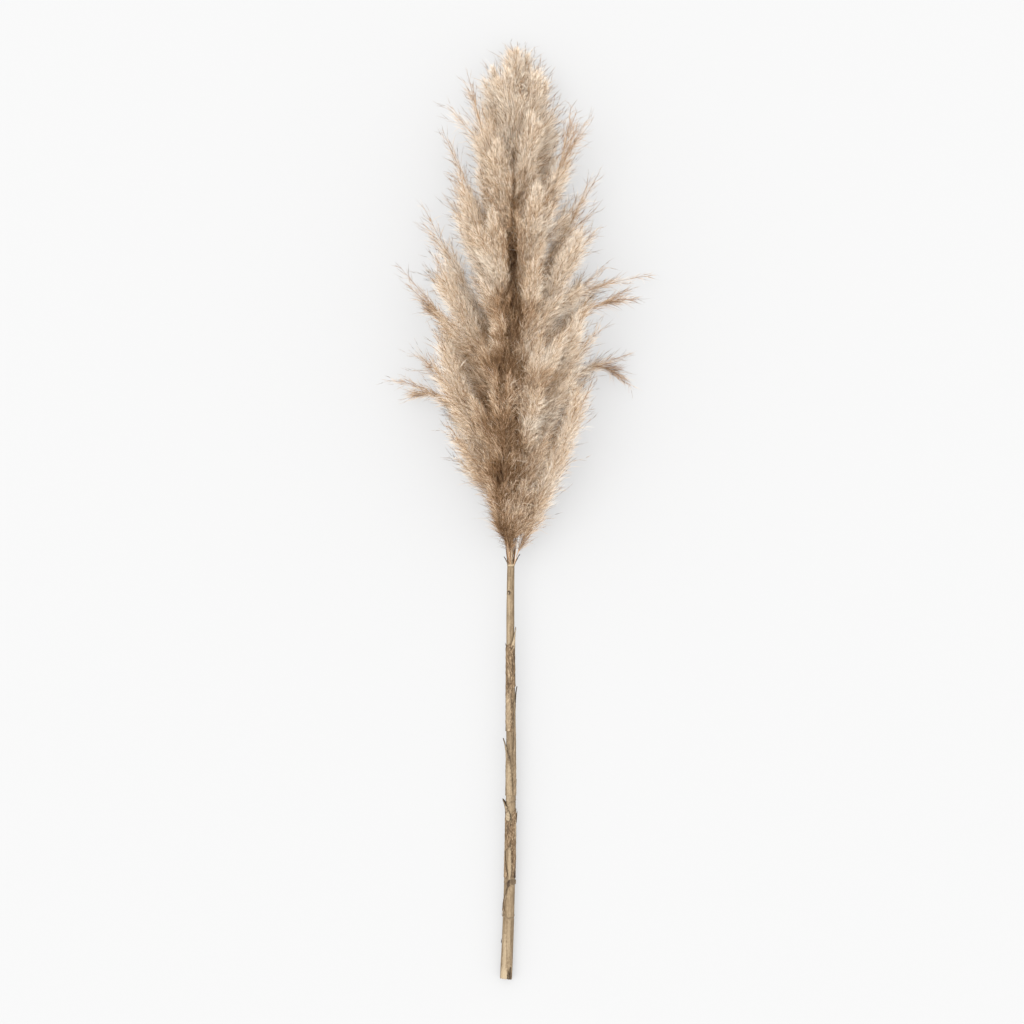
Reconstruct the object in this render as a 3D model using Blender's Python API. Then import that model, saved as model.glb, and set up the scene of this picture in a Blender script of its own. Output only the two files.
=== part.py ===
# Dried pampas grass stem, lying on a surface.
# Metres, +Z up. The stem runs along +Y from its cut end to the tip of its plume.
# "Along" is the distance from the cut end, "out" the distance from the stem's axis,
# and "turn" the angle round the axis, from +X towards +Z.

import functools
import math
import random

import bpy
import bmesh
from mathutils import Vector

# Whole stem
TOTAL_LENGTH = 1.100
COLLAR_ALONG = 0.490
RACHIS_END = 0.985
CUT_RADIUS = 0.0073
CUT_EDGE_SHARE = 0.94
CUT_EDGE_LENGTH = 0.0015
COLLAR_RADIUS = 0.0043
COLLAR_STEP = 0.004
RACHIS_SHARE_OF_COLLAR = 0.72
RACHIS_TIP_RADIUS = 0.0009
CULM_SIDES = 16
CULM_STEPS = 22
RACHIS_STEPS = 12
CLOSEST_RINGS = 0.0009
GAP = 0.0005

# How the stem lies: the culm rises a little towards the plume, whose end droops again
CULM_SLOPE = 0.038
DROOP_START = 0.620
TIP_DROOP = 0.030
SIDE_DROOP_START = 0.050
SIDE_DROOP_REACH = 0.125
SIDE_DROOP = 0.024
UPPER_SOFTNESS = 0.360
UNDER_SOFTNESS = 0.075
FLOOR_CUSHION = 0.004

# The culm bows gently to one side between the cut end and the collar
SIDE_BOW = 0.0033
SIDE_BOW_END = 0.450
SIDE_BOW_SKEW = 0.75
SIDE_BOW_SOFTNESS = 1.3

# Rings on the culm: place along it, extra radius, half width
CULM_RINGS = [
    (0.075, 0.0009, 0.0022),
    (0.115, 0.0007, 0.0025),
    (0.186, 0.0004, 0.0018),
    (0.213, 0.0006, 0.0024),
    (0.327, 0.0005, 0.0022),
    (0.488, 0.0011, 0.0018),
]

# Shells of old leaf sheath: start, end, two edges and the torn point's turn in degrees,
# share along at which the tear begins, and how far the point leans away from the culm
SHEATH_THICKNESS = 0.0006
SHEATH_SEGMENTS = 14
SHEATH_TORN_RINGS = 10
SHEATH_POINT_SHARE = 0.10
SHEATHS = {
    "upper_sheath": (0.352, 0.418, -150.0, 160.0, 62.0, 0.62, 0.0012),
    "middle_sheath_right": (0.218, 0.348, -62.0, 66.0, 4.0, 0.84, 0.0022),
    "middle_sheath_left": (0.218, 0.286, 100.0, 250.0, 172.0, 0.30, 0.0026),
    "lower_sheath": (0.120, 0.214, 98.0, 395.0, 176.0, 0.80, 0.0030),
    "base_sheath_strip": (0.080, 0.110, 118.0, 168.0, 130.0, 0.40, 0.0004),
}

# Oval bud on the front of the culm
BUD_START = 0.1875
BUD_LENGTH = 0.0125
BUD_RADIUS = 0.0021
BUD_FLATNESS = 0.75
BUD_TURN = 97.0
BUD_STANDS_OUT = 0.0022
BUD_SIDES = 10
BUD_RINGS = 9

# Stubs of sprays that broke off just above the collar: turn in degrees, length, lean out
TWIG_STUBS = [(146.0, 0.012, 0.0065), (70.0, 0.016, 0.0040), (2.0, 0.011, 0.0050)]
TWIG_START = 0.4942
TWIG_CLEARANCE = 0.0013
TWIG_RADIUS = 0.0007
TWIG_END_RADIUS = 0.0004
TWIG_SIDES = 6
TWIG_RINGS = 6

# Half width of the plume at places along the stem
PLUME_OUTLINE = [
    (0.490, 0.000),
    (0.540, 0.024),
    (0.620, 0.064),
    (0.700, 0.088),
    (0.900, 0.084),
    (1.000, 0.052),
    (1.060, 0.034),
    (1.090, 0.026),
    (1.100, 0.016),
]

# Sprays stand in whorls up the rachis, each whorl turned half a step from the last, and
# each spray of a whorl starts a little higher than the one before it
WHORLS = 9
SPRAYS_IN_WHORL = 5
FIRST_WHORL = 0.498
WHORL_STEP = 0.0515
WHORL_CLIMB = 0.0067
FIRST_WHORL_TURN = 36.0
TURN_WOBBLE = 5.0
REACH_WOBBLE = 0.06
WIDTH_WOBBLE = 0.10
LOWEST_SPRAY_REACH = 0.215
HIGHEST_SPRAY_REACH = 0.162
SPRAY_BASE_RADIUS = 0.0009
SPRAY_RADIUS = 0.0078
SPRAY_TIP_RADIUS = 0.0006
TOP_SPRAY_THICKNESS = 0.62
TIP_SPRAY_THICKNESS = 0.85
TIP_SPRAY_START = 0.979
TIP_SPRAY_OUT = 0.004
SPRAY_SIDES = 7
SPRAY_RINGS = 11
UNDERSIDE_SHARE = 0.78

# Sprays at the sides reach further out than those above and below, except at the very top
SIDE_SPREAD = 0.036
SIDE_SPREAD_END = 1.030
SIDE_SPREAD_FADE = 0.030

# Sprays that stick out of the plume: whorl, place in the whorl, tip along, tip out, turn
# in degrees, arch, and how far the tip falls back towards the cut end
STRAY_SPRAYS = {
    "long_right": (3, 4, 0.836, 0.162, 2.0, 1.9, 0.008),
    "low_right": (1, 4, 0.743, 0.139, -3.0, 1.9, 0.004),
    "long_left": (2, 2, 0.844, 0.137, 179.0, 1.25, 0.000),
    "low_left": (0, 2, 0.708, 0.148, 182.0, 1.7, 0.026),
}

PLUME_COLOUR = (0.50, 0.37, 0.26)
TWIG_COLOUR = (0.20, 0.13, 0.08)
CULM_COLOUR = (0.52, 0.39, 0.24)
SHEATH_COLOUR = (0.36, 0.27, 0.17)
BUD_COLOUR = (0.30, 0.21, 0.12)

wobble = random.Random(7)


def clear_scene():
    for old in list(bpy.data.objects):
        bpy.data.objects.remove(old, do_unlink=True)


def plain_material(name, colour, roughness):
    material = bpy.data.materials.new(name)
    material.use_nodes = True
    shader = material.node_tree.nodes["Principled BSDF"]
    shader.inputs["Base Color"].default_value = (*colour, 1.0)
    shader.inputs["Roughness"].default_value = roughness
    shader.inputs["Metallic"].default_value = 0.0
    return material


def ease(value):
    value = min(1.0, max(0.0, value))
    return value * value * (3.0 - 2.0 * value)


def mix(first, second, share):
    return first + (second - first) * share


def outline_half_width(along):
    for (near, near_width), (far, far_width) in zip(PLUME_OUTLINE, PLUME_OUTLINE[1:]):
        if along <= far:
            return mix(near_width, far_width, (along - near) / (far - near))
    return PLUME_OUTLINE[-1][1]


def culm_radius(along):
    # Slow taper from the cut end to the collar, then the thin rachis inside the plume
    if along <= COLLAR_ALONG:
        radius = mix(CUT_RADIUS, COLLAR_RADIUS, (along / COLLAR_ALONG) ** 0.9)
    else:
        share = (along - COLLAR_ALONG) / (RACHIS_END - COLLAR_ALONG)
        radius = mix(COLLAR_RADIUS * RACHIS_SHARE_OF_COLLAR, RACHIS_TIP_RADIUS, share ** 0.7)
    for place, extra, half_width in CULM_RINGS:
        radius += extra * math.exp(-((along - place) / half_width) ** 2)
    return radius


def axis_height(along):
    droop = max(0.0, (along - DROOP_START) / (TOTAL_LENGTH - DROOP_START)) ** 2
    return CUT_RADIUS + CULM_SLOPE * along - TIP_DROOP * droop


def axis_aside(along):
    if along >= SIDE_BOW_END:
        return 0.0
    share = (along / SIDE_BOW_END) ** SIDE_BOW_SKEW
    return SIDE_BOW * math.sin(math.pi * share) ** SIDE_BOW_SOFTNESS


def around_axis(out, along, turn):
    # A point of the straight stem, before it is laid down
    return Vector((out * math.cos(turn), along, out * math.sin(turn)))


def lay_down(across, along, above):
    # Lays a point of the straight plume on the surface. Depth under the axis is squeezed
    # more than height over it, most of all close to the surface, and nothing folds over,
    # so sprays stay apart.
    softness = ease((along - COLLAR_ALONG) / 0.060)
    limit = UPPER_SOFTNESS if above > 0.0 else UNDER_SOFTNESS
    squeezed = above / (1.0 + softness * abs(above) / limit)
    spread = max(0.0, (abs(across) - SIDE_DROOP_START) / SIDE_DROOP_REACH)
    droop = SIDE_DROOP * softness * spread ** 2
    height = axis_height(along) + squeezed - droop
    if softness > 0.0 and height < FLOOR_CUSHION:
        height = mix(height, FLOOR_CUSHION * math.exp(height / FLOOR_CUSHION - 1.0), softness)
    return Vector((across + axis_aside(along), along, height))


def add_object(name, mesh, material, parent):
    mesh.shade_smooth()
    mesh.set_sharp_from_angle(angle=math.radians(50.0))
    piece = bpy.data.objects.new(name, mesh)
    piece.data.materials.append(material)
    piece.parent = parent
    bpy.context.scene.collection.objects.link(piece)
    return piece


def mesh_from_rings(name, rings, tip=None):
    # Joins closed rings of points into one solid; the last ring ends in a flat cap or a tip
    shape = bmesh.new()
    loops = [[shape.verts.new(point) for point in ring] for ring in rings]
    sides = len(loops[0])
    for near, far in zip(loops, loops[1:]):
        for side in range(sides):
            after = (side + 1) % sides
            shape.faces.new((near[side], near[after], far[after], far[side]))
    shape.faces.new(list(reversed(loops[0])))
    if tip is None:
        shape.faces.new(loops[-1])
    else:
        point = shape.verts.new(tip)
        for side in range(sides):
            shape.faces.new((loops[-1][side], loops[-1][(side + 1) % sides], point))
    bmesh.ops.recalc_face_normals(shape, faces=shape.faces)
    mesh = bpy.data.meshes.new(name)
    shape.to_mesh(mesh)
    shape.free()
    return mesh


def ring_round(centre, ahead, radius, sides, flatten=1.0):
    # A ring of points round a centre, square to the direction ahead
    ahead = ahead.normalized()
    side_way = ahead.cross(Vector((0.0, 0.0, 1.0))).normalized()
    up_way = side_way.cross(ahead)
    points = []
    for index in range(sides):
        angle = math.tau * index / sides
        points.append(centre + side_way * (radius * math.cos(angle))
                      + up_way * (radius * flatten * math.sin(angle)))
    return points


@functools.lru_cache(maxsize=None)
def culm_places():
    # Where the culm's rings are: evenly spaced, and closer on each swelling
    places = {0.0, CUT_EDGE_LENGTH, COLLAR_ALONG + COLLAR_STEP, RACHIS_END}
    for place, _extra, half_width in CULM_RINGS:
        for step in (-2.0, -0.8, 0.0, 0.8, 2.0):
            places.add(round(place + step * half_width, 5))
    for index in range(1, CULM_STEPS):
        places.add(round(COLLAR_ALONG * index / CULM_STEPS, 5))
    for index in range(1, RACHIS_STEPS):
        places.add(round(mix(COLLAR_ALONG + COLLAR_STEP, RACHIS_END, index / RACHIS_STEPS), 5))
    kept = []
    for place in sorted(places):
        if not kept or place - kept[-1] > CLOSEST_RINGS:
            kept.append(place)
    return kept


def culm_surface(along):
    # Radius of the culm's faces, which run straight from ring to ring
    places = culm_places()
    for near, far in zip(places, places[1:]):
        if along <= far:
            share = (along - near) / (far - near)
            return mix(culm_radius(near), culm_radius(far), share)
    return culm_radius(places[-1])


def make_culm(parent):
    rings = []
    for along in culm_places():
        radius = culm_radius(along) * (CUT_EDGE_SHARE if along == 0.0 else 1.0)
        ring = []
        for index in range(CULM_SIDES):
            angle = math.tau * index / CULM_SIDES
            ring.append(lay_down(radius * math.cos(angle), along, radius * math.sin(angle)))
        rings.append(ring)
    mesh = mesh_from_rings("culm", rings)
    add_object("culm", mesh, plain_material("culm", CULM_COLOUR, 0.55), parent)


def sheath_places(start, end, torn_from):
    # The culm's own rings, so that the shell follows each swelling, and closer ones along
    # the torn end, where the shell's edges turn round the culm
    margin = 0.001
    between = [along for along in culm_places() if start + margin < along < end - margin]
    last = SHEATH_TORN_RINGS - 1
    torn = [mix(start, end, mix(torn_from, 1.0, step / last)) for step in range(last + 1)]
    return sorted(set([start] + between + torn))


def make_sheath(name, start, end, turns, torn_from, flare, parent):
    # A shell round part of the culm. From torn_from on, its two edges run together at the
    # torn point, and its tip leans away from the culm by flare.
    first_turn, last_turn, point_turn = [math.radians(turn) for turn in turns]
    rings = []
    for along in sheath_places(start, end, torn_from):
        share = (along - start) / (end - start)
        narrowing = ease((share - torn_from) / (1.0 - torn_from)) * (1.0 - SHEATH_POINT_SHARE)
        first = mix(first_turn, point_turn, narrowing)
        last = mix(last_turn, point_turn, narrowing)
        lean = flare * max(0.0, (share - torn_from) / (1.0 - torn_from)) ** 2
        inner = culm_surface(along) + GAP + lean
        outer = inner + SHEATH_THICKNESS
        outer_arc = []
        inner_arc = []
        for step in range(SHEATH_SEGMENTS + 1):
            angle = mix(first, last, step / SHEATH_SEGMENTS)
            outer_arc.append(lay_down(outer * math.cos(angle), along, outer * math.sin(angle)))
            inner_arc.append(lay_down(inner * math.cos(angle), along, inner * math.sin(angle)))
        rings.append(outer_arc + list(reversed(inner_arc)))
    mesh = mesh_from_rings(name, rings)
    add_object(name, mesh, plain_material(name, SHEATH_COLOUR, 0.7), parent)


def make_sheaths(parent):
    for name, values in SHEATHS.items():
        start, end, first_turn, last_turn, point_turn, torn_from, flare = values
        turns = (first_turn, last_turn, point_turn)
        make_sheath(name, start, end, turns, torn_from, flare, parent)


def make_side_bud(parent):
    # Pointed oval bud in the axil of the lower sheath
    rings = []
    for index in range(BUD_RINGS):
        share = mix(0.06, 0.97, index / (BUD_RINGS - 1))
        along = BUD_START + BUD_LENGTH * share
        radius = BUD_RADIUS * math.sin(math.pi * share ** 0.8)
        out = culm_radius(along) + GAP + BUD_STANDS_OUT
        centre = around_axis(out, along, math.radians(BUD_TURN))
        ring = ring_round(centre, Vector((0.0, 1.0, 0.0)), radius, BUD_SIDES, BUD_FLATNESS)
        rings.append([lay_down(*point) for point in ring])
    mesh = mesh_from_rings("side_bud", rings)
    add_object("side_bud", mesh, plain_material("side_bud", BUD_COLOUR, 0.6), parent)


def make_rod(name, path, radii, sides, colour, parent):
    # A closed rod that swells and thins along a path, ends in a point and is then laid down
    rings = []
    for index in range(len(path) - 1):
        before = path[max(0, index - 1)]
        after = path[index + 1]
        ring = ring_round(path[index], after - before, radii[index], sides)
        rings.append([lay_down(*point) for point in ring])
    mesh = mesh_from_rings(name, rings, lay_down(*path[-1]))
    add_object(name, mesh, plain_material(name, colour, 0.85), parent)


def make_broken_twigs(parent):
    for number, (turn, length, lean) in enumerate(TWIG_STUBS, start=1):
        path = []
        radii = []
        for index in range(TWIG_RINGS):
            share = index / (TWIG_RINGS - 1)
            out = COLLAR_RADIUS + TWIG_CLEARANCE + lean * share ** 1.3
            path.append(around_axis(out, TWIG_START + length * share, math.radians(turn)))
            radii.append(mix(TWIG_RADIUS, TWIG_END_RADIUS, share))
        make_rod(f"broken_twig_{number}", path, radii, TWIG_SIDES, TWIG_COLOUR, parent)


def spray_radius(share):
    # Thin at both ends, thickest a little beyond the middle
    swell = max(0.0, math.sin(math.pi * share ** 0.75)) ** 0.8
    slim = mix(SPRAY_BASE_RADIUS, SPRAY_TIP_RADIUS, share)
    return slim + (SPRAY_RADIUS - slim) * swell * ease(share / 0.45)


def make_spray(name, start, turn, tip_along, tip_out, parent, thickness=1.0, arch=1.0,
               fall=0.0):
    # A spray leaves the rachis at a steep angle. arch above 1 keeps it close to the plume
    # for longer and then turns its end outwards, and fall lets its tip hang back.
    path = []
    radii = []
    base_out = culm_radius(start) + GAP + SPRAY_BASE_RADIUS * 1.2
    for index in range(SPRAY_RINGS):
        share = index / (SPRAY_RINGS - 1)
        out = mix(base_out, tip_out, share ** arch)
        along = mix(start, tip_along + fall, share ** (1.0 / arch)) - fall * share ** 5
        path.append(around_axis(out, along, turn))
        radii.append(spray_radius(share) * thickness)
    make_rod(name, path, radii, SPRAY_SIDES, PLUME_COLOUR, parent)


def side_spread(turn, tip_along):
    fade = ease((tip_along - SIDE_SPREAD_END) / SIDE_SPREAD_FADE)
    return SIDE_SPREAD * math.cos(turn) ** 2 * (1.0 - fade)


def make_sprays(parent):
    strays = {(whorl, place): values for whorl, place, *values in STRAY_SPRAYS.values()}
    turn_step = 360.0 / SPRAYS_IN_WHORL
    for whorl in range(WHORLS):
        share = whorl / (WHORLS - 1)
        reach = mix(LOWEST_SPRAY_REACH, HIGHEST_SPRAY_REACH, share)
        thickness = mix(1.0, TOP_SPRAY_THICKNESS, share)
        for place in range(SPRAYS_IN_WHORL):
            turn = FIRST_WHORL_TURN + turn_step * (place + 0.5 * (whorl % 2))
            turn = math.radians(turn + wobble.uniform(-TURN_WOBBLE, TURN_WOBBLE))
            start = FIRST_WHORL + WHORL_STEP * whorl + WHORL_CLIMB * place
            tip_along = start + reach * wobble.uniform(1.0 - REACH_WOBBLE, 1.0 + REACH_WOBBLE)
            tip_out = outline_half_width(tip_along) * wobble.uniform(1.0 - WIDTH_WOBBLE, 1.0)
            tip_out *= mix(1.0, UNDERSIDE_SHARE, max(0.0, -math.sin(turn)))
            tip_out += side_spread(turn, tip_along)
            arch = 1.0
            fall = 0.0
            if (whorl, place) in strays:
                tip_along, tip_out, turn, arch, fall = strays[(whorl, place)]
                turn = math.radians(turn)
            name = f"spray_w{whorl + 1}_{place + 1}"
            make_spray(name, start, turn, tip_along, tip_out, parent, thickness, arch, fall)
    make_spray("tip_spray", TIP_SPRAY_START, math.radians(90.0), TOTAL_LENGTH, TIP_SPRAY_OUT,
               parent, TIP_SPRAY_THICKNESS)


def place_on_origin(root):
    # Moves the root so that the middle of the stem's underside is at the origin
    bpy.context.view_layer.update()
    corners = []
    for piece in root.children:
        corners.extend(piece.matrix_world @ vertex.co for vertex in piece.data.vertices)
    low = [min(corner[axis] for corner in corners) for axis in range(3)]
    high = [max(corner[axis] for corner in corners) for axis in range(3)]
    root.location = (-(low[0] + high[0]) / 2.0, -(low[1] + high[1]) / 2.0, -low[2])


def main():
    clear_scene()
    root = bpy.data.objects.new("pampas_stem", None)
    bpy.context.scene.collection.objects.link(root)
    make_culm(root)
    make_sheaths(root)
    make_side_bud(root)
    make_broken_twigs(root)
    make_sprays(root)
    place_on_origin(root)


main()
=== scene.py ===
import math

import bpy
import numpy as np
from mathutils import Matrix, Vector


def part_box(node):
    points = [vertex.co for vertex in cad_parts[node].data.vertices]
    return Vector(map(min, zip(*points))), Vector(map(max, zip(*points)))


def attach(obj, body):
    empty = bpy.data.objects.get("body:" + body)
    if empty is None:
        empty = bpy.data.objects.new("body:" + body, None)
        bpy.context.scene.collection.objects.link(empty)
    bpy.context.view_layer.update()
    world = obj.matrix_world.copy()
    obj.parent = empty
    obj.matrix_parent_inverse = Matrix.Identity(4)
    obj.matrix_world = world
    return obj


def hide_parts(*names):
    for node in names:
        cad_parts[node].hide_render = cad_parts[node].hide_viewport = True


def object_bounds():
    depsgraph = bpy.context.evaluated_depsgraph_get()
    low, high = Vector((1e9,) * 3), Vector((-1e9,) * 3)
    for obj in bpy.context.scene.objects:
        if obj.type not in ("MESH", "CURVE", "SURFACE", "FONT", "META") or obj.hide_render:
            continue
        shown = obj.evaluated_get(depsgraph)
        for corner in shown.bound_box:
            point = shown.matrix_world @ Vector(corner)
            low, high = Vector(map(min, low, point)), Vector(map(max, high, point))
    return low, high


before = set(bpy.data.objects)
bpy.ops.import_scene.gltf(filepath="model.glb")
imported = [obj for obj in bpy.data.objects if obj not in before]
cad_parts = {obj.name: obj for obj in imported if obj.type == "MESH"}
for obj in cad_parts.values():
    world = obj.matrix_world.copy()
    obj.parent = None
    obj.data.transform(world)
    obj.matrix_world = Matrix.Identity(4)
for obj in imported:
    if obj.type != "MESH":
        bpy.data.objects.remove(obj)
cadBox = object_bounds()
print("frame loaded, nodes:", len(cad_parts))


def mix(first, second, share):
    return first + (second - first) * share


def ease(value):
    value = np.clip(value, 0.0, 1.0)
    return value * value * (3.0 - 2.0 * value)


def unit(vectors):
    return vectors / np.maximum(np.linalg.norm(vectors, axis=-1, keepdims=True), 1e-12)


def meshPoints(name):
    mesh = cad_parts[name].data
    points = np.empty(len(mesh.vertices) * 3)
    mesh.vertices.foreach_get("co", points)
    return points.reshape(-1, 3)


# The culm's own line and thickness, read from its rings
culmPoints = meshPoints("culm")
ringPlaces = np.unique(np.round(culmPoints[:, 1], 4))
ringGroups = [culmPoints[np.abs(culmPoints[:, 1] - place) < 0.0002] for place in ringPlaces]
ringMiddles = np.array([(group.min(axis=0) + group.max(axis=0)) / 2 for group in ringGroups])
ringRadii = np.array([np.ptp(group[:, 0]) / 2 for group in ringGroups])
cutPlace = ringPlaces[0]
rachisEnd = ringPlaces[-1]
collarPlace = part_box("broken_twig_1")[0][1] - 0.004
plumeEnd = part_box("tip_spray")[1][1]


def culmLine(places):
    # middle of the culm and of the rachis that carries it on into the plume
    x = np.interp(places, ringPlaces, ringMiddles[:, 0])
    z = np.interp(places, ringPlaces, ringMiddles[:, 2])
    return np.stack([x, places, z], axis=-1)


def culmRadius(places):
    return np.interp(places, ringPlaces, ringRadii)


def meshFromArrays(name, points, triangles, cornerUv=None):
    mesh = bpy.data.meshes.new(name)
    mesh.vertices.add(len(points))
    mesh.vertices.foreach_set("co", np.ascontiguousarray(points, dtype=np.float32).ravel())
    mesh.loops.add(len(triangles) * 3)
    mesh.loops.foreach_set("vertex_index", np.ascontiguousarray(triangles, dtype=np.int32).ravel())
    mesh.polygons.add(len(triangles))
    starts = np.arange(0, len(triangles) * 3, 3, dtype=np.int32)
    mesh.polygons.foreach_set("loop_start", starts)
    mesh.update(calc_edges=True)
    if cornerUv is not None:
        layer = mesh.uv_layers.new(name="OFBake")
        layer.data.foreach_set("uv", np.ascontiguousarray(cornerUv, dtype=np.float32).ravel())
    mesh.shade_smooth()
    return mesh


def gridTriangles(rings, sides):
    # triangles between rows of points, each row closed round
    first = np.arange(rings - 1)[:, None] * sides
    a = first + np.arange(sides)
    b = first + (np.arange(sides) + 1) % sides
    quads = np.stack([a, b, b + sides, a + sides], axis=-1).reshape(-1, 4)
    return np.concatenate([quads[:, [0, 2, 1]], quads[:, [0, 3, 2]]])


toneSteps = 64


def fibreArrays(roots, directions, lengths, widths, bends, tones, segments, swell, rng, rootAt=0.03):
    # closed three-sided fibres, each a bent spike. tones picks the strip of the colour map
    count = len(roots)
    directions = unit(directions)
    sideWay = unit(np.cross(directions, rng.normal(size=(count, 3))))
    rows = []
    for row in range(segments):
        share = row / segments
        centre = roots + directions * (lengths * share)[:, None]
        centre = centre + bends * (lengths * share * share)[:, None]
        ahead = unit(directions + bends * (2.0 * share))
        upWay = unit(np.cross(ahead, sideWay))
        across = np.cross(upWay, ahead)
        radius = widths * 0.5 * swell[row]
        for corner in range(3):
            angle = math.tau * corner / 3
            offset = across * math.cos(angle) + upWay * math.sin(angle)
            rows.append(centre + offset * radius[:, None])
    rows.append(roots + directions * lengths[:, None] + bends * lengths[:, None])
    perFibre = 3 * segments + 1
    points = np.stack(rows, axis=1).reshape(-1, 3)
    faces = [(0, 2, 1)]
    for row in range(segments - 1):
        for corner in range(3):
            a = row * 3 + corner
            b = row * 3 + (corner + 1) % 3
            faces.append((a, b, b + 3))
            faces.append((a, b + 3, a + 3))
    last = (segments - 1) * 3
    for corner in range(3):
        faces.append((last + corner, last + (corner + 1) % 3, perFibre - 1))
    faces = np.array(faces)
    triangles = (np.arange(count)[:, None, None] * perFibre + faces[None]).reshape(-1, 3)
    # colour map: each fibre runs up its tone's strip, root at the bottom
    cornerShare = np.append(np.repeat(np.arange(segments) / segments, 3), 1.0)
    cornerAcross = np.append(np.tile([0.2, 0.5, 0.8], segments), 0.5)
    strip = np.clip((tones * toneSteps).astype(int), 0, toneSteps - 1)
    u = (strip[:, None] + cornerAcross[None, :]) / toneSteps
    v = np.broadcast_to(mix(rootAt, 0.97, cornerShare)[None, :], u.shape)
    uv = np.stack([u, v], axis=-1)
    cornerUv = uv[:, faces, :].reshape(-1, 2)
    return points, triangles, cornerUv


def joinArrays(parts):
    # one set of arrays from parts that are each points, triangles and what goes with them
    starts = np.cumsum([0] + [len(part[0]) for part in parts[:-1]])
    triangles = [part[1] + start for part, start in zip(parts, starts)]
    rest = [np.concatenate([part[place] for part in parts]) for place in range(2, len(parts[0]))]
    return (np.concatenate([part[0] for part in parts]), np.concatenate(triangles), *rest)


def addPiece(name, mesh, material, node):
    piece = bpy.data.objects.new(name, mesh)
    mesh.materials.append(material)
    bpy.context.scene.collection.objects.link(piece)
    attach(piece, "root")
    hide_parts(node)


def newMaterial(name):
    material = bpy.data.materials.new(name)
    material.use_nodes = True
    nodes = material.node_tree.nodes
    return material, nodes, material.node_tree.links, nodes["Principled BSDF"]


def rampColour(nodes, links, value, stops):
    ramp = nodes.new("ShaderNodeValToRGB")
    while len(ramp.color_ramp.elements) < len(stops):
        ramp.color_ramp.elements.new(0.5)
    for element, (place, colour) in zip(ramp.color_ramp.elements, stops):
        element.position = place
        element.color = (*colour, 1.0)
    links.new(value, ramp.inputs[0])
    return ramp.outputs["Color"]


# Plume: silky hair, side twigs, husks and awns, all fine closed fibres

hairLook = {
    "tones": [(0.0, (0.06, 0.03, 0.013)), (0.25, (0.33, 0.188, 0.094)),
              (0.42, (0.56, 0.385, 0.24)), (0.58, (0.77, 0.592, 0.415)),
              (0.8, (0.89, 0.765, 0.61)), (1.0, (0.945, 0.87, 0.76))],
    # painted shade: how the colour darkens towards a hair's root, for the shade deep inside the hair
    "paintedRootShade": [(0.0, (0.55, 0.46, 0.37)), (0.45, (0.9, 0.88, 0.86)), (1.0, (1.0, 1.0, 1.0))],
    "roughness": 0.75,
    "shine": 0.12,
}


def makeHairMaterial():
    material, nodes, links, shader = newMaterial("silkyHair")
    uv = nodes.new("ShaderNodeUVMap")
    uv.uv_map = "OFBake"
    split = nodes.new("ShaderNodeSeparateXYZ")
    links.new(uv.outputs["UV"], split.inputs[0])
    tone = rampColour(nodes, links, split.outputs["X"], hairLook["tones"])
    # painted shade: the colour is darkened towards each fibre's root
    shade = rampColour(nodes, links, split.outputs["Y"], hairLook["paintedRootShade"])
    blend = nodes.new("ShaderNodeMix")
    blend.data_type = "RGBA"
    blend.blend_type = "MULTIPLY"
    blend.inputs["Factor"].default_value = 1.0
    links.new(tone, blend.inputs["A"])
    links.new(shade, blend.inputs["B"])
    links.new(blend.outputs["Result"], shader.inputs["Base Color"])
    shader.inputs["Roughness"].default_value = hairLook["roughness"]
    shader.inputs["Specular IOR Level"].default_value = hairLook["shine"]
    return material


hairMaterial = makeHairMaterial()

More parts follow.
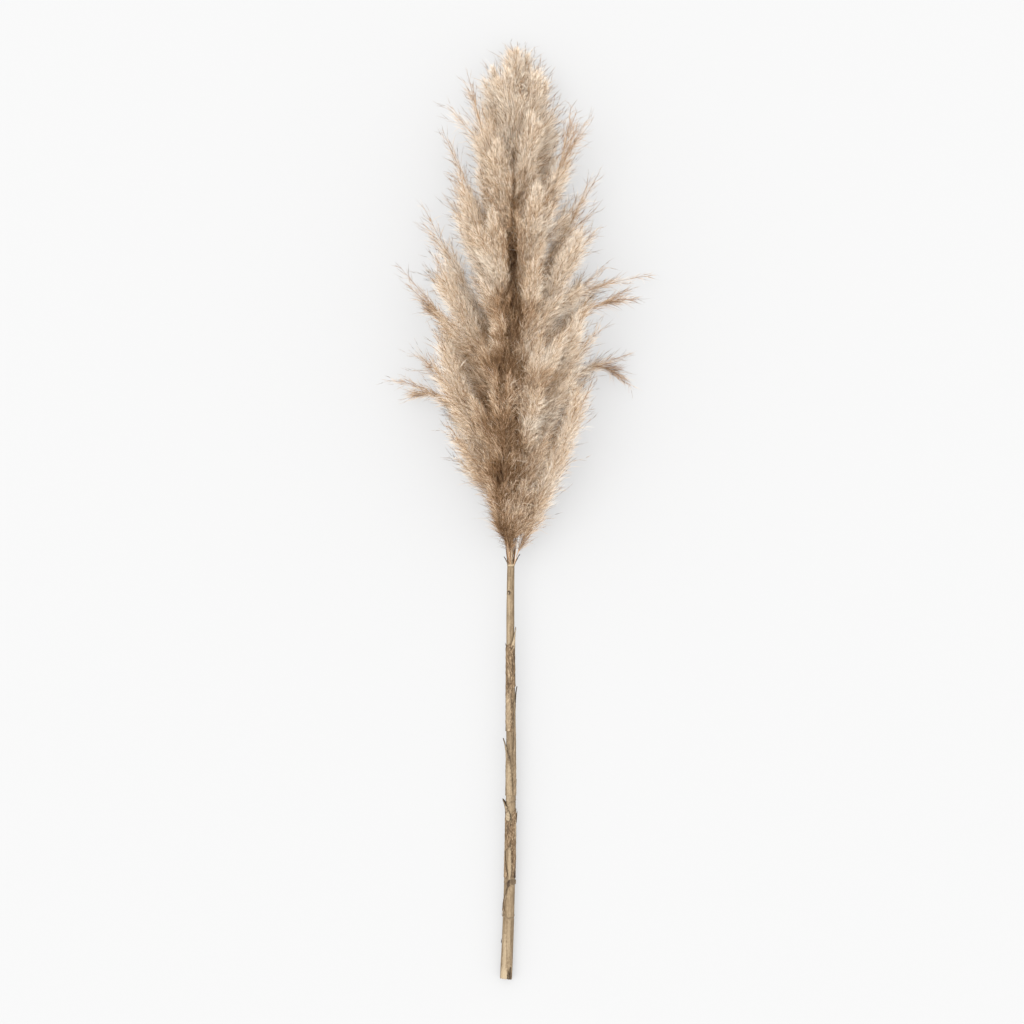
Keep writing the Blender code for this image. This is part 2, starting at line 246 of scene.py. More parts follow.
plume = {
    "hairsPerMetre": 21000,
    "hairLength": (0.009, 0.021),
    "hairWidth": 0.00021,
    "hairLean": (6.0, 46.0),    # degrees off the shoot, at its middle and at its outside
    "hairSpread": 16.0,
    "curvedShare": 0.62,
    "streakShare": 0.12,        # thicker pale or dark strands that catch the eye
    "streakWidth": 0.00033,
    "paleStreaks": 0.72,
    "streakTones": (0.17, -0.3),
    "toneFoot": 0.715,          # tone of the lowest sprays, what is added at the top, its variation
    "toneRise": 0.185,
    "toneNoise": 0.17,
    "partedShare": 0.93,
    "brushRadius": 0.0165,
    "sideShoots": 5,
    "baseShoots": 3,
    "sideShootShare": (0.34, 0.52),
    "sideShootAngle": (12.0, 28.0),
    "sideBrush": 0.0115,
    "branchEvery": 0.0034,
    "branchAngle": (18.0, 42.0),
    "spikeletEvery": 0.006,
    "glumeLength": 0.0062,
    "glumeWidth": 0.00055,
    "awnLength": 0.007,
    "floorGap": 0.0004,
    "cushion": 0.003,           # hair that would go under the floor lies in this much above it
    "ceilingGap": 0.01,
    "ceilingRoom": 0.034,
    "tipRoom": 0.016,
    # where the hair parts over the rachis: share up the plume, aside, half width
    "parting": [(0.00, -0.004, 0.002), (0.07, -0.009, 0.0045), (0.15, -0.016, 0.005),
                (0.23, -0.005, 0.006), (0.34, -0.014, 0.006), (0.39, -0.009, 0.007),
                (0.47, 0.001, 0.008), (0.56, -0.002, 0.005), (0.68, -0.002, 0.0036),
                (0.76, -0.002, 0.0016), (0.82, -0.001, 0.0)],
    # half width of the plume's full body: share up the plume, half width
    "fullOutline": [(0.00, 0.003), (0.04, 0.01), (0.08, 0.023), (0.12, 0.037), (0.17, 0.053),
                    (0.23, 0.07), (0.32, 0.08), (0.46, 0.08), (0.6, 0.078), (0.67, 0.066),
                    (0.74, 0.05), (0.8, 0.043), (0.88, 0.04), (0.94, 0.034), (1.00, 0.023)],
    "thinShare": [(0.00, 0.03), (0.1, 0.14), (0.22, 0.4), (0.6, 0.42), (0.84, 0.22), (0.92, 0.1),
                  (1.00, 0.06)],
    # painted shade: how much darker the hair is close to the rachis: share up the plume, amount
    "coreShade": [(0.00, 0.2), (0.08, 0.34), (0.16, 0.46), (0.3, 0.6), (0.45, 0.52), (0.55, 0.4),
                  (0.72, 0.22), (0.9, 0.04)],
    # painted shade in the furrow along the parting: share up the plume, amount
    "seamShade": [(0.00, 0.04), (0.12, 0.2), (0.3, 0.32), (0.45, 0.26), (0.55, 0.18), (0.7, 0.11),
                  (0.82, 0.0)],
    # loose wisps that stand out of the plume: share up it and aside, at their foot and their tip
    "wisps": [(0.762, 0.043, 0.886, 0.064), (0.724, 0.052, 0.867, 0.087), (0.453, 0.082, 0.513, 0.144),
              (0.4, 0.084, 0.352, 0.138), (0.84, -0.042, 0.944, -0.057),
              (0.457, -0.072, 0.511, -0.11), (0.318, -0.084, 0.322, -0.128)],
    "wispBrush": 0.0065,
    # a fully slim spray's share of brush width, hair, side brush, side shoot length and angle
    "slim": (0.56, 0.55, 0.7, 0.72, 0.62),
    # painted light and shade, paler lit tufts and darker hollows: share up the plume, aside, reach, how
    # much paler
    "tufts": [(0.27, 0.017, 0.01, 0.34), (0.24, 0.027, 0.012, 0.26), (0.144, 0.015, 0.009, 0.3),
              (0.56, -0.026, 0.012, 0.24), (0.4, 0.03, 0.016, 0.14), (0.384, -0.049, 0.018, -0.2),
              (0.256, -0.027, 0.014, -0.22), (0.177, -0.012, 0.012, -0.24), (0.354, 0.041, 0.013, -0.26),
              (0.13, 0.012, 0.006, -0.22), (0.47, -0.02, 0.02, -0.12), (0.23, -0.055, 0.03, -0.14)],
}


goldenTurn = 2.399963           # from one shoot to the next round a stalk


def sprayLine(name, count=60):
    # a smooth curve through the middle of a spray's solid, from the rachis outwards
    points = meshPoints(name)
    root = points[np.argsort(points[:, 1])[:5]].mean(axis=0)
    away = np.linalg.norm(points - root, axis=1)
    share = away / away.max()
    steps = np.linspace(0.0, 1.0, count)
    fits = [np.polyval(np.polyfit(share, points[:, axis], 5), steps) for axis in range(3)]
    line = np.stack(fits, axis=-1)
    # its foot leaves the side of the rachis
    atCollar = line[0][1] < collarPlace + 0.03
    foot = np.array([collarPlace + 0.001 if atCollar else line[0][1] - 0.014])
    middle = culmLine(foot)[0]
    outward = unit((line[0] - middle) * np.array([1.0, 0.0, 1.0]))
    start = middle + outward * (0.0036 if atCollar else culmRadius(foot)[0])
    pull = (1.0 - np.clip(steps / 0.22, 0.0, 1.0)) ** 2
    return line + (start - line[0]) * pull[:, None]


def alongLine(line, shares):
    # points and directions at shares of the curve's length
    gaps = np.linalg.norm(np.diff(line, axis=0), axis=1)
    length = np.concatenate([[0.0], np.cumsum(gaps)])
    want = np.clip(shares, 0.0, 1.0) * length[-1]
    before = np.clip(want - 0.002, 0.0, length[-1])
    after = np.clip(want + 0.002, 0.0, length[-1])

    def at(places):
        return np.stack([np.interp(places, length, line[:, axis]) for axis in range(3)], axis=-1)

    return at(want), unit(at(after) - at(before)), length[-1]


def aroundShoot(ahead, turns):
    # directions square to the shoot
    aside = unit(np.cross(ahead, np.array([0.0, 0.0, 1.0])))
    above = np.cross(aside, ahead)
    return aside * np.cos(turns)[:, None] + above * np.sin(turns)[:, None]


def fromRachis(points):
    # directions straight out from the rachis, and how far out
    away = points - culmLine(points[:, 1])
    return unit(away), np.linalg.norm(away, axis=1)


def fromParting(points):
    # sideways distance from the parting, its half width there, and how far above the rachis
    away = points - culmLine(points[:, 1])
    share = plumeShare(points)
    aside = readCurve(plume["parting"], share)
    width = readCurve(plume["parting"], share, 2)
    width = width * (1.0 + 0.5 * np.sin(points[:, 1] * 130.0) * np.sin(points[:, 1] * 71.0))
    return away[:, 0] - aside, width, away[:, 2]


def outFrom(turns):
    # directions out from the stem at turns round it
    return np.stack([np.cos(turns), 0.0 * turns, np.sin(turns)], axis=-1)


def plumeShare(points):
    return (points[:, 1] - collarPlace) / (plumeEnd - collarPlace)


def readCurve(stops, share, column=1):
    stops = np.array(stops)
    return np.interp(share, stops[:, 0], stops[:, column])


def outsideBody(points):
    # how far points lie outside the plume's full body, to either side
    middle = culmLine(points[:, 1])
    return np.abs(points[:, 0] - middle[:, 0]) - readCurve(plume["fullOutline"], plumeShare(points))


def fullness(points):
    # 1 inside the plume's full body, falling outside it where only loose sprays reach
    beyond = outsideBody(points) + 0.006 * patches(points, 11)
    thin = readCurve(plume["thinShare"], plumeShare(points))
    return 1.0 + (thin - 1.0) * ease(beyond / 0.022 + 0.65)


def settle(points):
    # keeps hair off the floor
    height = points[:, 2]
    cushion = plume["cushion"]
    edge = plume["floorGap"] + cushion
    lowered = plume["floorGap"] + cushion * np.exp((np.minimum(height, edge) - edge) / cushion)
    height = np.where(height < edge, lowered, height)
    # and under the height of the plume's solids
    ceiling = cadBox[1][2] + plume["ceilingGap"]
    room = plume["ceilingRoom"]
    knee = ceiling - room
    pressed = knee + room * (1.0 - np.exp(-np.maximum(height - knee, 0.0) / room))
    points[:, 2] = np.where(height > knee, pressed, height)
    # and close to the plume's tip
    past = np.maximum(points[:, 1] - plumeEnd, 0.0)
    room = plume["tipRoom"]
    points[:, 1] = np.where(past > 0.0, plumeEnd + room * (1.0 - np.exp(-past / room)), points[:, 1])
    return points


def brushWidth(shares, start, bareEnd):
    # how far the brush of hair stands out along a shoot
    inside = np.clip((shares - start) / (1.0 - start), 0.0, 1.0)
    rise = ease(inside / 0.22 + 0.12)
    fall = (1.0 - np.clip((inside - 0.3) / 0.7, 0.0, 1.0) ** mix(1.3, 4.0, bareEnd)) ** 0.8
    return np.maximum(0.06, rise * fall)


def patches(points, seed):
    # slow wandering between -1 and 1
    rng = np.random.default_rng(seed)
    value = np.zeros(len(points))
    for scale in (0.06, 0.034, 0.02):
        for _turn in range(3):
            way = unit(rng.normal(size=3)) * (math.tau / scale)
            value += np.sin(points @ way + rng.uniform(0.0, math.tau)) * (scale / 0.06) ** 0.5
    return value / 4.0


def hairTones(roots, depth, tone, rng):
    _away, core = fromRachis(roots)
    aside, width, above = fromParting(roots)
    share = plumeShare(roots)
    tones = tone + rng.normal(0.0, plume["toneNoise"], len(roots)) + 0.13 * patches(roots, 5)
    # painted shade: hair close to the rachis, and hair rooted deep inside its brush, is darker
    tones -= readCurve(plume["coreShade"], share) * (1.0 - ease(core / 0.052)) + 0.05 * (1.0 - depth)
    # painted shade along the furrow where the hair parts, darkest in the parting gap itself
    seam = np.exp(-(aside / 0.03) ** 2) * (1.0 + 0.7 * patches(roots, 7))
    tones -= readCurve(plume["seamShade"], share) * seam
    tones -= 0.22 * np.exp(-(aside / (0.004 + 1.5 * width)) ** 2) * (width > 0.002)
    # loose sprays outside the full body are browner
    tones -= 0.26 * ease(outsideBody(roots) / 0.03 + 0.15)
    across = roots[:, 0] - culmLine(roots[:, 1])[:, 0]
    # painted light and shade: lit tufts on top of the plume are made paler, hollows darker
    for place, side, reach, amount in plume["tufts"]:
        gap = np.hypot((share - place) * (plumeEnd - collarPlace), across - side)
        tones += amount * np.exp(-(gap / reach) ** 2) * (above > 0.0)
    return np.clip(tones, 0.08, 0.99)


def shootHair(line, start, radius, number, bareEnd, tone, rng):
    # silky hair that stands forward and outward all along a shoot
    if number < 8:
        return []
    shares = start + (1.0 - start) * rng.random(number)
    places, ahead, _length = alongLine(line, shares)
    full = fullness(places)
    wanted = mix(1.0, 0.12, ease((shares - bareEnd) / (1.001 - bareEnd))) * full
    keep = rng.random(number) < wanted
    shares, places, ahead, full = shares[keep], places[keep], ahead[keep], full[keep]
    number = len(shares)
    width = radius * brushWidth(shares, start, bareEnd) * mix(0.5, 1.0, full)
    depth = rng.random(number) ** 0.65
    out = aroundShoot(ahead, rng.uniform(0.0, math.tau, number))
    roots = places + out * (width * depth * 0.75)[:, None]
    away, _core = fromRachis(roots)
    near, far = plume["hairLean"]
    lean = np.radians(mix(near, far, depth) + rng.normal(0.0, plume["hairSpread"], number))
    sway = out + 0.85 * away + rng.normal(0.0, 0.62, (number, 3))
    aside, partWidth, above = fromParting(roots)
    turned = np.exp(-(aside / (0.003 + 2.0 * partWidth)) ** 2) * (above > 0.0) * (partWidth > 0.001)
    sway[:, 0] += 1.2 * np.sign(aside) * turned
    sway = unit(sway)
    ways = unit(ahead * np.cos(lean)[:, None] + sway * np.sin(lean)[:, None])
    low, high = plume["hairLength"]
    lengths = rng.uniform(low, high, number) * mix(1.0, 0.62, shares)
    aside, partWidth, above = fromParting(roots + ways * (lengths * 0.6)[:, None])
    gone = (np.abs(aside) < partWidth) & (above > 0.003) & (rng.random(number) < plume["partedShare"])
    lengths = np.where(gone, 0.002, lengths)
    bends = sway * rng.normal(0.03, 0.24, number)[:, None] + rng.normal(0.0, 0.1, (number, 3))
    bends[:, 2] -= 0.04
    tones = hairTones(roots, depth, tone, rng)
    widths = plume["hairWidth"] * rng.uniform(0.7, 1.35, number)
    kind = rng.random(number)
    streaks = kind < plume["streakShare"] * (0.4 + depth)
    curved = ~streaks & (kind < plume["curvedShare"])
    plain = ~streaks & ~curved
    pale = rng.random(number) < plume["paleStreaks"]
    tones = np.clip(tones + streaks * np.where(pale, *plume["streakTones"]), 0.06, 0.99)
    parts = [fibreArrays(roots[curved], ways[curved], lengths[curved], widths[curved],
                         bends[curved], tones[curved], 2, [0.85, 1.0], rng)]
    parts.append(fibreArrays(roots[plain], ways[plain], lengths[plain] * 0.9, widths[plain] * 1.3,
                             bends[plain] * 0.0, tones[plain], 1, [1.0], rng))
    thick = plume["streakWidth"] * rng.uniform(0.7, 1.2, number)
    parts.append(fibreArrays(roots[streaks], ways[streaks], lengths[streaks] * 1.15, thick[streaks],
                             bends[streaks] * 1.6, tones[streaks], 3, [0.6, 1.0, 0.8], rng))
    return parts


def shootBranches(line, start, radius, bareEnd, rng):
    # thin side branches whose dry husks and awns show at the edge of the brush
    length = alongLine(line, np.array([0.0]))[2]
    number = max(3, int(length * (1.0 - start) / plume["branchEvery"]))
    shares = np.linspace(start + 0.02, 0.985, number) + rng.uniform(-0.01, 0.01, number)
    roots, ahead, _length = alongLine(line, shares)
    kept = rng.random(number) < 0.3 + 0.7 * fullness(roots)
    kept[:3] = True
    shares, roots, ahead = shares[kept], roots[kept], ahead[kept]
    number = len(shares)
    out = aroundShoot(ahead, np.arange(number) * goldenTurn + rng.uniform(0.0, math.tau))
    away, _core = fromRachis(roots)
    out = unit(out + 0.5 * away)
    angles = np.radians(rng.uniform(*plume["branchAngle"], number))
    ways = ahead * np.cos(angles)[:, None] + out * np.sin(angles)[:, None]
    lengths = (0.5 + 1.1 * brushWidth(shares, start, bareEnd)) * rng.uniform(0.9, 1.9, number) * radius
    lengths = np.maximum(lengths, 0.007)
    bends = out * rng.normal(0.00, 0.14, number)[:, None] + rng.normal(0.0, 0.05, (number, 3))
    bends[:, 2] -= 0.05
    parts = [fibreArrays(roots, ways, lengths, np.full(number, 0.00034), bends,
                         rng.uniform(0.26, 0.46, number), 4, [1.0, 0.85, 0.7, 0.5], rng)]
    perBranch = np.maximum(1, (lengths * 0.7 / plume["spikeletEvery"]).astype(int))
    owner = np.repeat(np.arange(number), perBranch)
    order = np.concatenate([np.arange(many) for many in perBranch])
    place = 0.35 + 0.62 * (order + rng.uniform(0.2, 0.9, len(owner))) / perBranch[owner]
    place = np.clip(place, 0.1, 0.99)
    reach = lengths[owner] * place
    spots = roots[owner] + ways[owner] * reach[:, None] + bends[owner] * (reach * place)[:, None]
    along = unit(ways[owner] + bends[owner] * (2.0 * place)[:, None])
    lean = unit(np.cross(along, rng.normal(size=along.shape)))
    tilt = np.radians(rng.uniform(6.0, 26.0, len(owner)))
    huskWay = along * np.cos(tilt)[:, None] + lean * np.sin(tilt)[:, None]
    count = len(owner)
    huskLengths = plume["glumeLength"] * rng.uniform(0.6, 1.3, count)
    huskBends = rng.normal(0.0, 0.09, (count, 3))
    parts.append(fibreArrays(spots, huskWay, huskLengths,
                             plume["glumeWidth"] * rng.uniform(0.6, 1.15, count), huskBends,
                             rng.uniform(0.02, 0.3, count), 2, [0.45, 1.0], rng))
    awnRoots = spots + huskWay * (huskLengths * 0.8)[:, None]
    awnLengths = plume["awnLength"] * rng.uniform(0.6, 1.4, count)
    parts.append(fibreArrays(awnRoots, unit(huskWay + huskBends), awnLengths,
                             np.full(count, 0.00021), rng.normal(0.0, 0.1, (count, 3)),
                             rng.uniform(0.12, 0.42, count), 2, [1.0, 0.8], rng))
    return parts


def shootStalk(line, thick, thin, tone, rng):
    steps = 20
    places, _ahead, _length = alongLine(line, np.linspace(0.0, 1.0, steps + 1))
    gaps = np.diff(places, axis=0)
    lengths = np.linalg.norm(gaps, axis=1) * 1.4
    tones = np.linspace(tone, tone - 0.2, steps)
    return fibreArrays(places[:-1], gaps, lengths, np.linspace(thick, thin, steps),
                       np.zeros((steps, 3)), tones, 2, [1.0, 0.9], rng, 0.6)


def sideShootLine(line, share, part, angle, turn, rng):
    # a shoot that leaves another one and bends back along it
    root, ahead, length = alongLine(line, np.array([share]))
    away, _core = fromRachis(root)
    out = unit(aroundShoot(ahead, np.array([turn])) + 0.45 * away)[0]
    out[2] = min(out[2], 0.45)
    way = ahead[0] * math.cos(angle) + out * math.sin(angle)
    reach = length * part
    bend = out * rng.uniform(-0.12, 0.14)
    bend[2] -= 0.06
    steps = np.linspace(0.0, 1.0, 24)[:, None]
    return root[0] + way * (reach * steps) + bend * (reach * steps ** 2)


def collarStalks(line, rng):
    # thin bare stalks that hug the rachis just above the collar
    number = 6
    middle = culmLine(line[:1, 1])[0]
    middleTurn = math.atan2(line[8][2] - middle[2], line[8][0] - middle[0])
    turns = middleTurn + np.linspace(-0.62, 0.62, number) + rng.normal(0.0, 0.1, number)
    out = outFrom(turns)
    roots = middle + out * 0.0037
    roots[:, 1] = collarPlace + 0.0008
    ways = out * rng.uniform(0.02, 0.12, number)[:, None] + np.array([0.0, 1.0, 0.0])
    bends = out * rng.uniform(0.00, 0.1, number)[:, None] + rng.normal(0.0, 0.012, (number, 3))
    tones = np.resize([0.1, 0.66, 0.16, 0.06], number)
    widths = np.where(tones > 0.5, 0.0006, 0.001) * rng.uniform(0.8, 1.1, number)
    return fibreArrays(roots, ways, rng.uniform(0.036, 0.06, number), widths,
                       bends, tones, 6, [1.0, 0.95, 0.9, 0.8, 0.7, 0.5], rng, 0.3)


def plumePlace(share, aside):
    # the point beside the rachis at a share up the plume
    middle = culmLine(np.array([collarPlace + share * (plumeEnd - collarPlace)]))[0]
    return middle + np.array([aside, 0.0, 0.0])


def wispLine(line, wisp):
    # a loose wisp from the nearest point of a spray out to its own tip
    foot = plumePlace(*wisp[:2])
    nearest = int(np.argmin(np.linalg.norm((line - foot)[:, :2], axis=1)))
    start = line[nearest]
    end = plumePlace(*wisp[2:])
    end[2] = max(0.008, start[2] - 0.006)
    reach = np.linalg.norm(end - start)
    ahead = unit(line[min(nearest + 2, len(line) - 1)] - line[max(nearest - 2, 0)])
    turning = start + ahead * (0.42 * reach)
    steps = np.linspace(0.0, 1.0, 30)[:, None]
    return start * (1.0 - steps) ** 2 + turning * (2.0 * steps * (1.0 - steps)) + end * steps ** 2


def growWisp(line, rng):
    length = alongLine(line, np.array([0.0]))[2]
    number = int(plume["hairsPerMetre"] * length * 0.5)
    parts = [shootStalk(line, 0.0008, 0.0003, 0.34, rng)]
    parts += shootHair(line, 0.04, plume["wispBrush"], number, 0.45, 0.66, rng)
    parts += shootBranches(line, 0.04, plume["wispBrush"], 0.45, rng)
    for turn in (0.8, 3.6):
        side = sideShootLine(line, rng.uniform(0.25, 0.5), 0.42, math.radians(14.0), turn, rng)
        parts.append(shootStalk(side, 0.0006, 0.0003, 0.34, rng))
        parts += shootHair(side, 0.04, plume["wispBrush"] * 0.8, number // 3, 0.4, 0.62, rng)
        parts += shootBranches(side, 0.04, plume["wispBrush"] * 0.8, 0.4, rng)
    return parts


def growSpray(name, seed):
    rng = np.random.default_rng(seed)
    line = sprayLines[name]
    length = alongLine(line, np.array([0.0]))[2]
    height = (line[0][1] - collarPlace) / (rachisEnd - collarPlace)
    # sprays that end outside the full body are slimmer and barer
    slim = float(ease((outsideBody(line[-1:])[0] - 0.004) / 0.03))
    slimBrush, slimHair, slimSide, slimPart, slimAngle = [mix(1.0, size, slim) for size in plume["slim"]]
    start = 0.07 if height < 0.06 else 0.05
    bareEnd = mix(mix(0.8, 0.99, ease(height * 1.3)), 0.5, slim)
    radius = plume["brushRadius"] * min(1.0, length / 0.17) * slimBrush
    tone = plume["toneFoot"] + plume["toneRise"] * height + rng.uniform(-0.06, 0.06)
    number = int(plume["hairsPerMetre"] * length * slimHair)
    parts = [shootStalk(line, 0.0013, 0.0004, 0.4, rng)]
    parts += shootHair(line, start, radius, number, bareEnd, tone, rng)
    parts += shootBranches(line, start, radius, bareEnd, rng)
    turns = rng.uniform(0.0, math.tau)
    for index in range(plume["sideShoots"] + plume["baseShoots"]):
        if index < plume["baseShoots"]:
            share = rng.uniform(0.015, 0.09)
            part = rng.uniform(0.3, 0.5)
            angle = math.radians(rng.uniform(6.0, 26.0))
            sideStart = 0.2
        else:
            step = (index - plume["baseShoots"]) / (plume["sideShoots"] - 1)
            share = mix(0.14, 0.68, step) + rng.uniform(-0.03, 0.03)
            part = rng.uniform(*plume["sideShootShare"]) * (1.0 - 0.45 * share)
            angle = math.radians(rng.uniform(*plume["sideShootAngle"]))
            sideStart = 0.04
        part *= slimPart
        angle *= slimAngle
        side = sideShootLine(line, share, part, angle, turns + index * goldenTurn, rng)
        if plumeShare(side[-1:])[0] < 0.3 and outsideBody(side[-1:])[0] > 0.008:
            continue
        sideNumber = int(plume["hairsPerMetre"] * length * part * 0.62 * slimHair)
        sideRadius = plume["sideBrush"] * slimSide
        parts.append(shootStalk(side, 0.0008, 0.0003, 0.38, rng))
        parts += shootHair(side, sideStart, sideRadius, sideNumber, bareEnd - 0.1,
                           tone + rng.uniform(-0.07, 0.07), rng)
        parts += shootBranches(side, sideStart, sideRadius, bareEnd - 0.1, rng)
    if line[0][1] < collarPlace + 0.005:
        parts.append(collarStalks(line, rng))
    for wisp in wispsOf[name]:
        parts += growWisp(wispLine(line, wisp), rng)
    points, triangles, uv = joinArrays(parts)
    points = settle(points)
    mesh = meshFromArrays(name + "_plumage", points, triangles, uv)
    addPiece(name + "_plumage", mesh, hairMaterial, name)
    return len(triangles)


sprayNames = sorted(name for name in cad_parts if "spray" in name)
sprayLines = {name: sprayLine(name) for name in sprayNames}
wispsOf = {name: [] for name in sprayNames}
for wisp in plume["wisps"]:
    foot = plumePlace(*wisp[:2])
    gaps = {name: np.linalg.norm((line - foot)[:, :2], axis=1).min() for name, line in sprayLines.items()}
    wispsOf[min(gaps, key=gaps.get)].append(wisp)
triangleCount = 0
for number, sprayName in enumerate(sprayNames):
    triangleCount += growSpray(sprayName, 100 + number)
print("plume grown, sprays:", len(sprayNames), "triangles:", triangleCount)

# The culm: a smooth skin with knots, stains and a ragged cut end


def ripple(along, turns, lengths, waves, seed):
    # smooth unevenness round and along the stem, about -1 to 1
    rng = np.random.default_rng(seed)
    total = np.zeros(np.broadcast(along, turns).shape)
    for length in lengths:
        for _turn in range(3):
            wave = rng.integers(0, waves + 1) * rng.choice([-1, 1])
            pitch = math.tau / (length * rng.uniform(0.7, 1.4))
            total = total + np.sin(along * pitch + wave * turns + rng.uniform(0.0, math.tau))
    return total / (1.5 * len(lengths) + 1.0)


def blot(along, turns, mark, seed):
    # a mark on the stem with uneven edges: strength, place, turn in degrees, half length, half width
    strength, place, turn, length, width = mark
    gap = (turns - math.radians(turn) + math.pi) % math.tau - math.pi
    across = gap * culmRadius(cutPlace + along) / width
    reach = np.sqrt(((along - place) / length) ** 2 + across ** 2)
    reach = reach + 0.3 * ripple(along, turns, [0.004, 0.0016], 14, seed)
    return strength * (1.0 - ease((reach - 0.7) / 0.5))


def stroke(along, turns, line, seed):
    # a thin mark drawn through places and turns: strength, half width, then the points
    strength, width, *path = line
    path = np.array(path)
    total = np.zeros(np.broadcast(along, turns).shape)
    for near, far in zip(path, path[1:]):
        steps = np.linspace(0.0, 1.0, max(2, int(abs(far[0] - near[0]) / 0.0005)))
        for step in steps:
            place, turn = mix(near, far, step)
            gap = (turns - math.radians(turn) + math.pi) % math.tau - math.pi
            reach = np.hypot(along - place, gap * culmRadius(cutPlace + place)) / width
            total = np.maximum(total, 1.0 - ease(reach - 0.4))
    worn = 0.75 + 0.35 * ripple(along, turns, [0.006, 0.002], 6, seed)
    return strength * total * worn


def allMarks(draw, marks, along, turns, seed):
    total = np.zeros(np.broadcast(along, turns).shape)
    for number, mark in enumerate(marks):
        total = np.maximum(total, draw(along, turns, mark, seed + number))
    return np.minimum(total, 1.0)


def stemPoints(along, turns, radii):
    # along, turns and radii are grids: rows along the stem, columns round it
    middle = culmLine(cutPlace + along.ravel()).reshape(*along.shape, 3)
    points = np.array(middle)
    points[..., 0] += radii * np.cos(turns)
    points[..., 2] += radii * np.sin(turns)
    return points.reshape(-1, 3)


def fanCap(first, count, hub, facesForward):
    # triangles from one row of points to a middle point
    around = np.arange(count)
    after = (around + 1) % count
    fan = np.stack([first + around, first + after, np.full(count, hub)], axis=-1)
    return fan[:, ::-1] if facesForward else fan


def rodSolid(path, outward, widths, thicks, sides=12):
    # a closed tapering rod. widths and thicks are its half sizes sideways and outwards
    ahead = unit(np.gradient(path, axis=0))
    aside = unit(np.cross(ahead, outward))
    above = np.cross(aside, ahead)
    turns = np.linspace(0.0, math.tau, sides, endpoint=False)
    ring = aside[:, None] * (np.cos(turns)[None, :] * widths[:, None])[..., None]
    ring = ring + above[:, None] * (np.sin(turns)[None, :] * thicks[:, None])[..., None]
    points = (path[:, None] + ring).reshape(-1, 3)
    triangles = gridTriangles(len(path), sides)
    last = (len(path) - 1) * sides
    points = np.concatenate([points, path[:1], path[-1:]])
    caps = [fanCap(0, sides, len(points) - 2, False), fanCap(last, sides, len(points) - 1, True)]
    return points, np.concatenate([triangles] + caps)


def tornStub(stub, number):
    # a torn or leafy stub on the stem. swing turns its end round the stem, lean lifts it away
    share = np.linspace(0.0, 1.0, 18)
    along = stub["place"] + stub["length"] * share
    turns = np.radians(stub["turn"] + stub.get("swing", 0.0) * share ** 1.4)
    wobble = 0.1 * ripple(along, 0.0, [0.006, 0.003], 0, 500 + number)
    turns = turns + wobble * share
    lift = stub.get("lift", 0.0004) + stub["lean"] * share ** 1.7
    path = stemPoints(along, turns, smoothRadius(along) + lift)
    outward = outFrom(turns)
    fullest = stub.get("fullest", 0.25)
    grow = np.where(share < fullest, 0.72 + 0.28 * ease(share / fullest),
                    1.0 - 0.9 * ((share - fullest) / (1.0 - fullest)) ** stub.get("taper", 1.2))
    uneven = 1.0 + 0.15 * ripple(along, 0.0, [0.004, 0.0017], 0, 520 + number)
    widths = 0.5 * stub["width"] * grow * uneven
    thicks = np.minimum(widths, 0.5 * stub.get("thick", 0.0009))
    points, triangles = rodSolid(path, outward, widths, thicks)
    rim = np.abs(np.cos(np.linspace(0.0, math.tau, 12, endpoint=False))) ** 3
    foot, tip = stub["dark"]
    stain = mix(foot, tip, share ** 2)[:, None] + stub.get("rim", 0.0) * rim[None, :]
    stain = np.append(np.clip(stain, 0.0, 1.0).ravel(), [foot, tip])
    pale = np.full(len(points), stub.get("pale", 0.0))
    return points, triangles, stain, pale


def stemMesh(name, solids):
    # one mesh from closed solids of points, triangles, stain and pale
    points, triangles, *masks = joinArrays(solids)
    mesh = meshFromArrays(name, points, triangles)
    for attributeName, values in zip(("stain", "pale"), masks):
        layer = mesh.attributes.new(attributeName, "FLOAT", "POINT")
        layer.data.foreach_set("value", np.ascontiguousarray(values, dtype=np.float32))
    return mesh


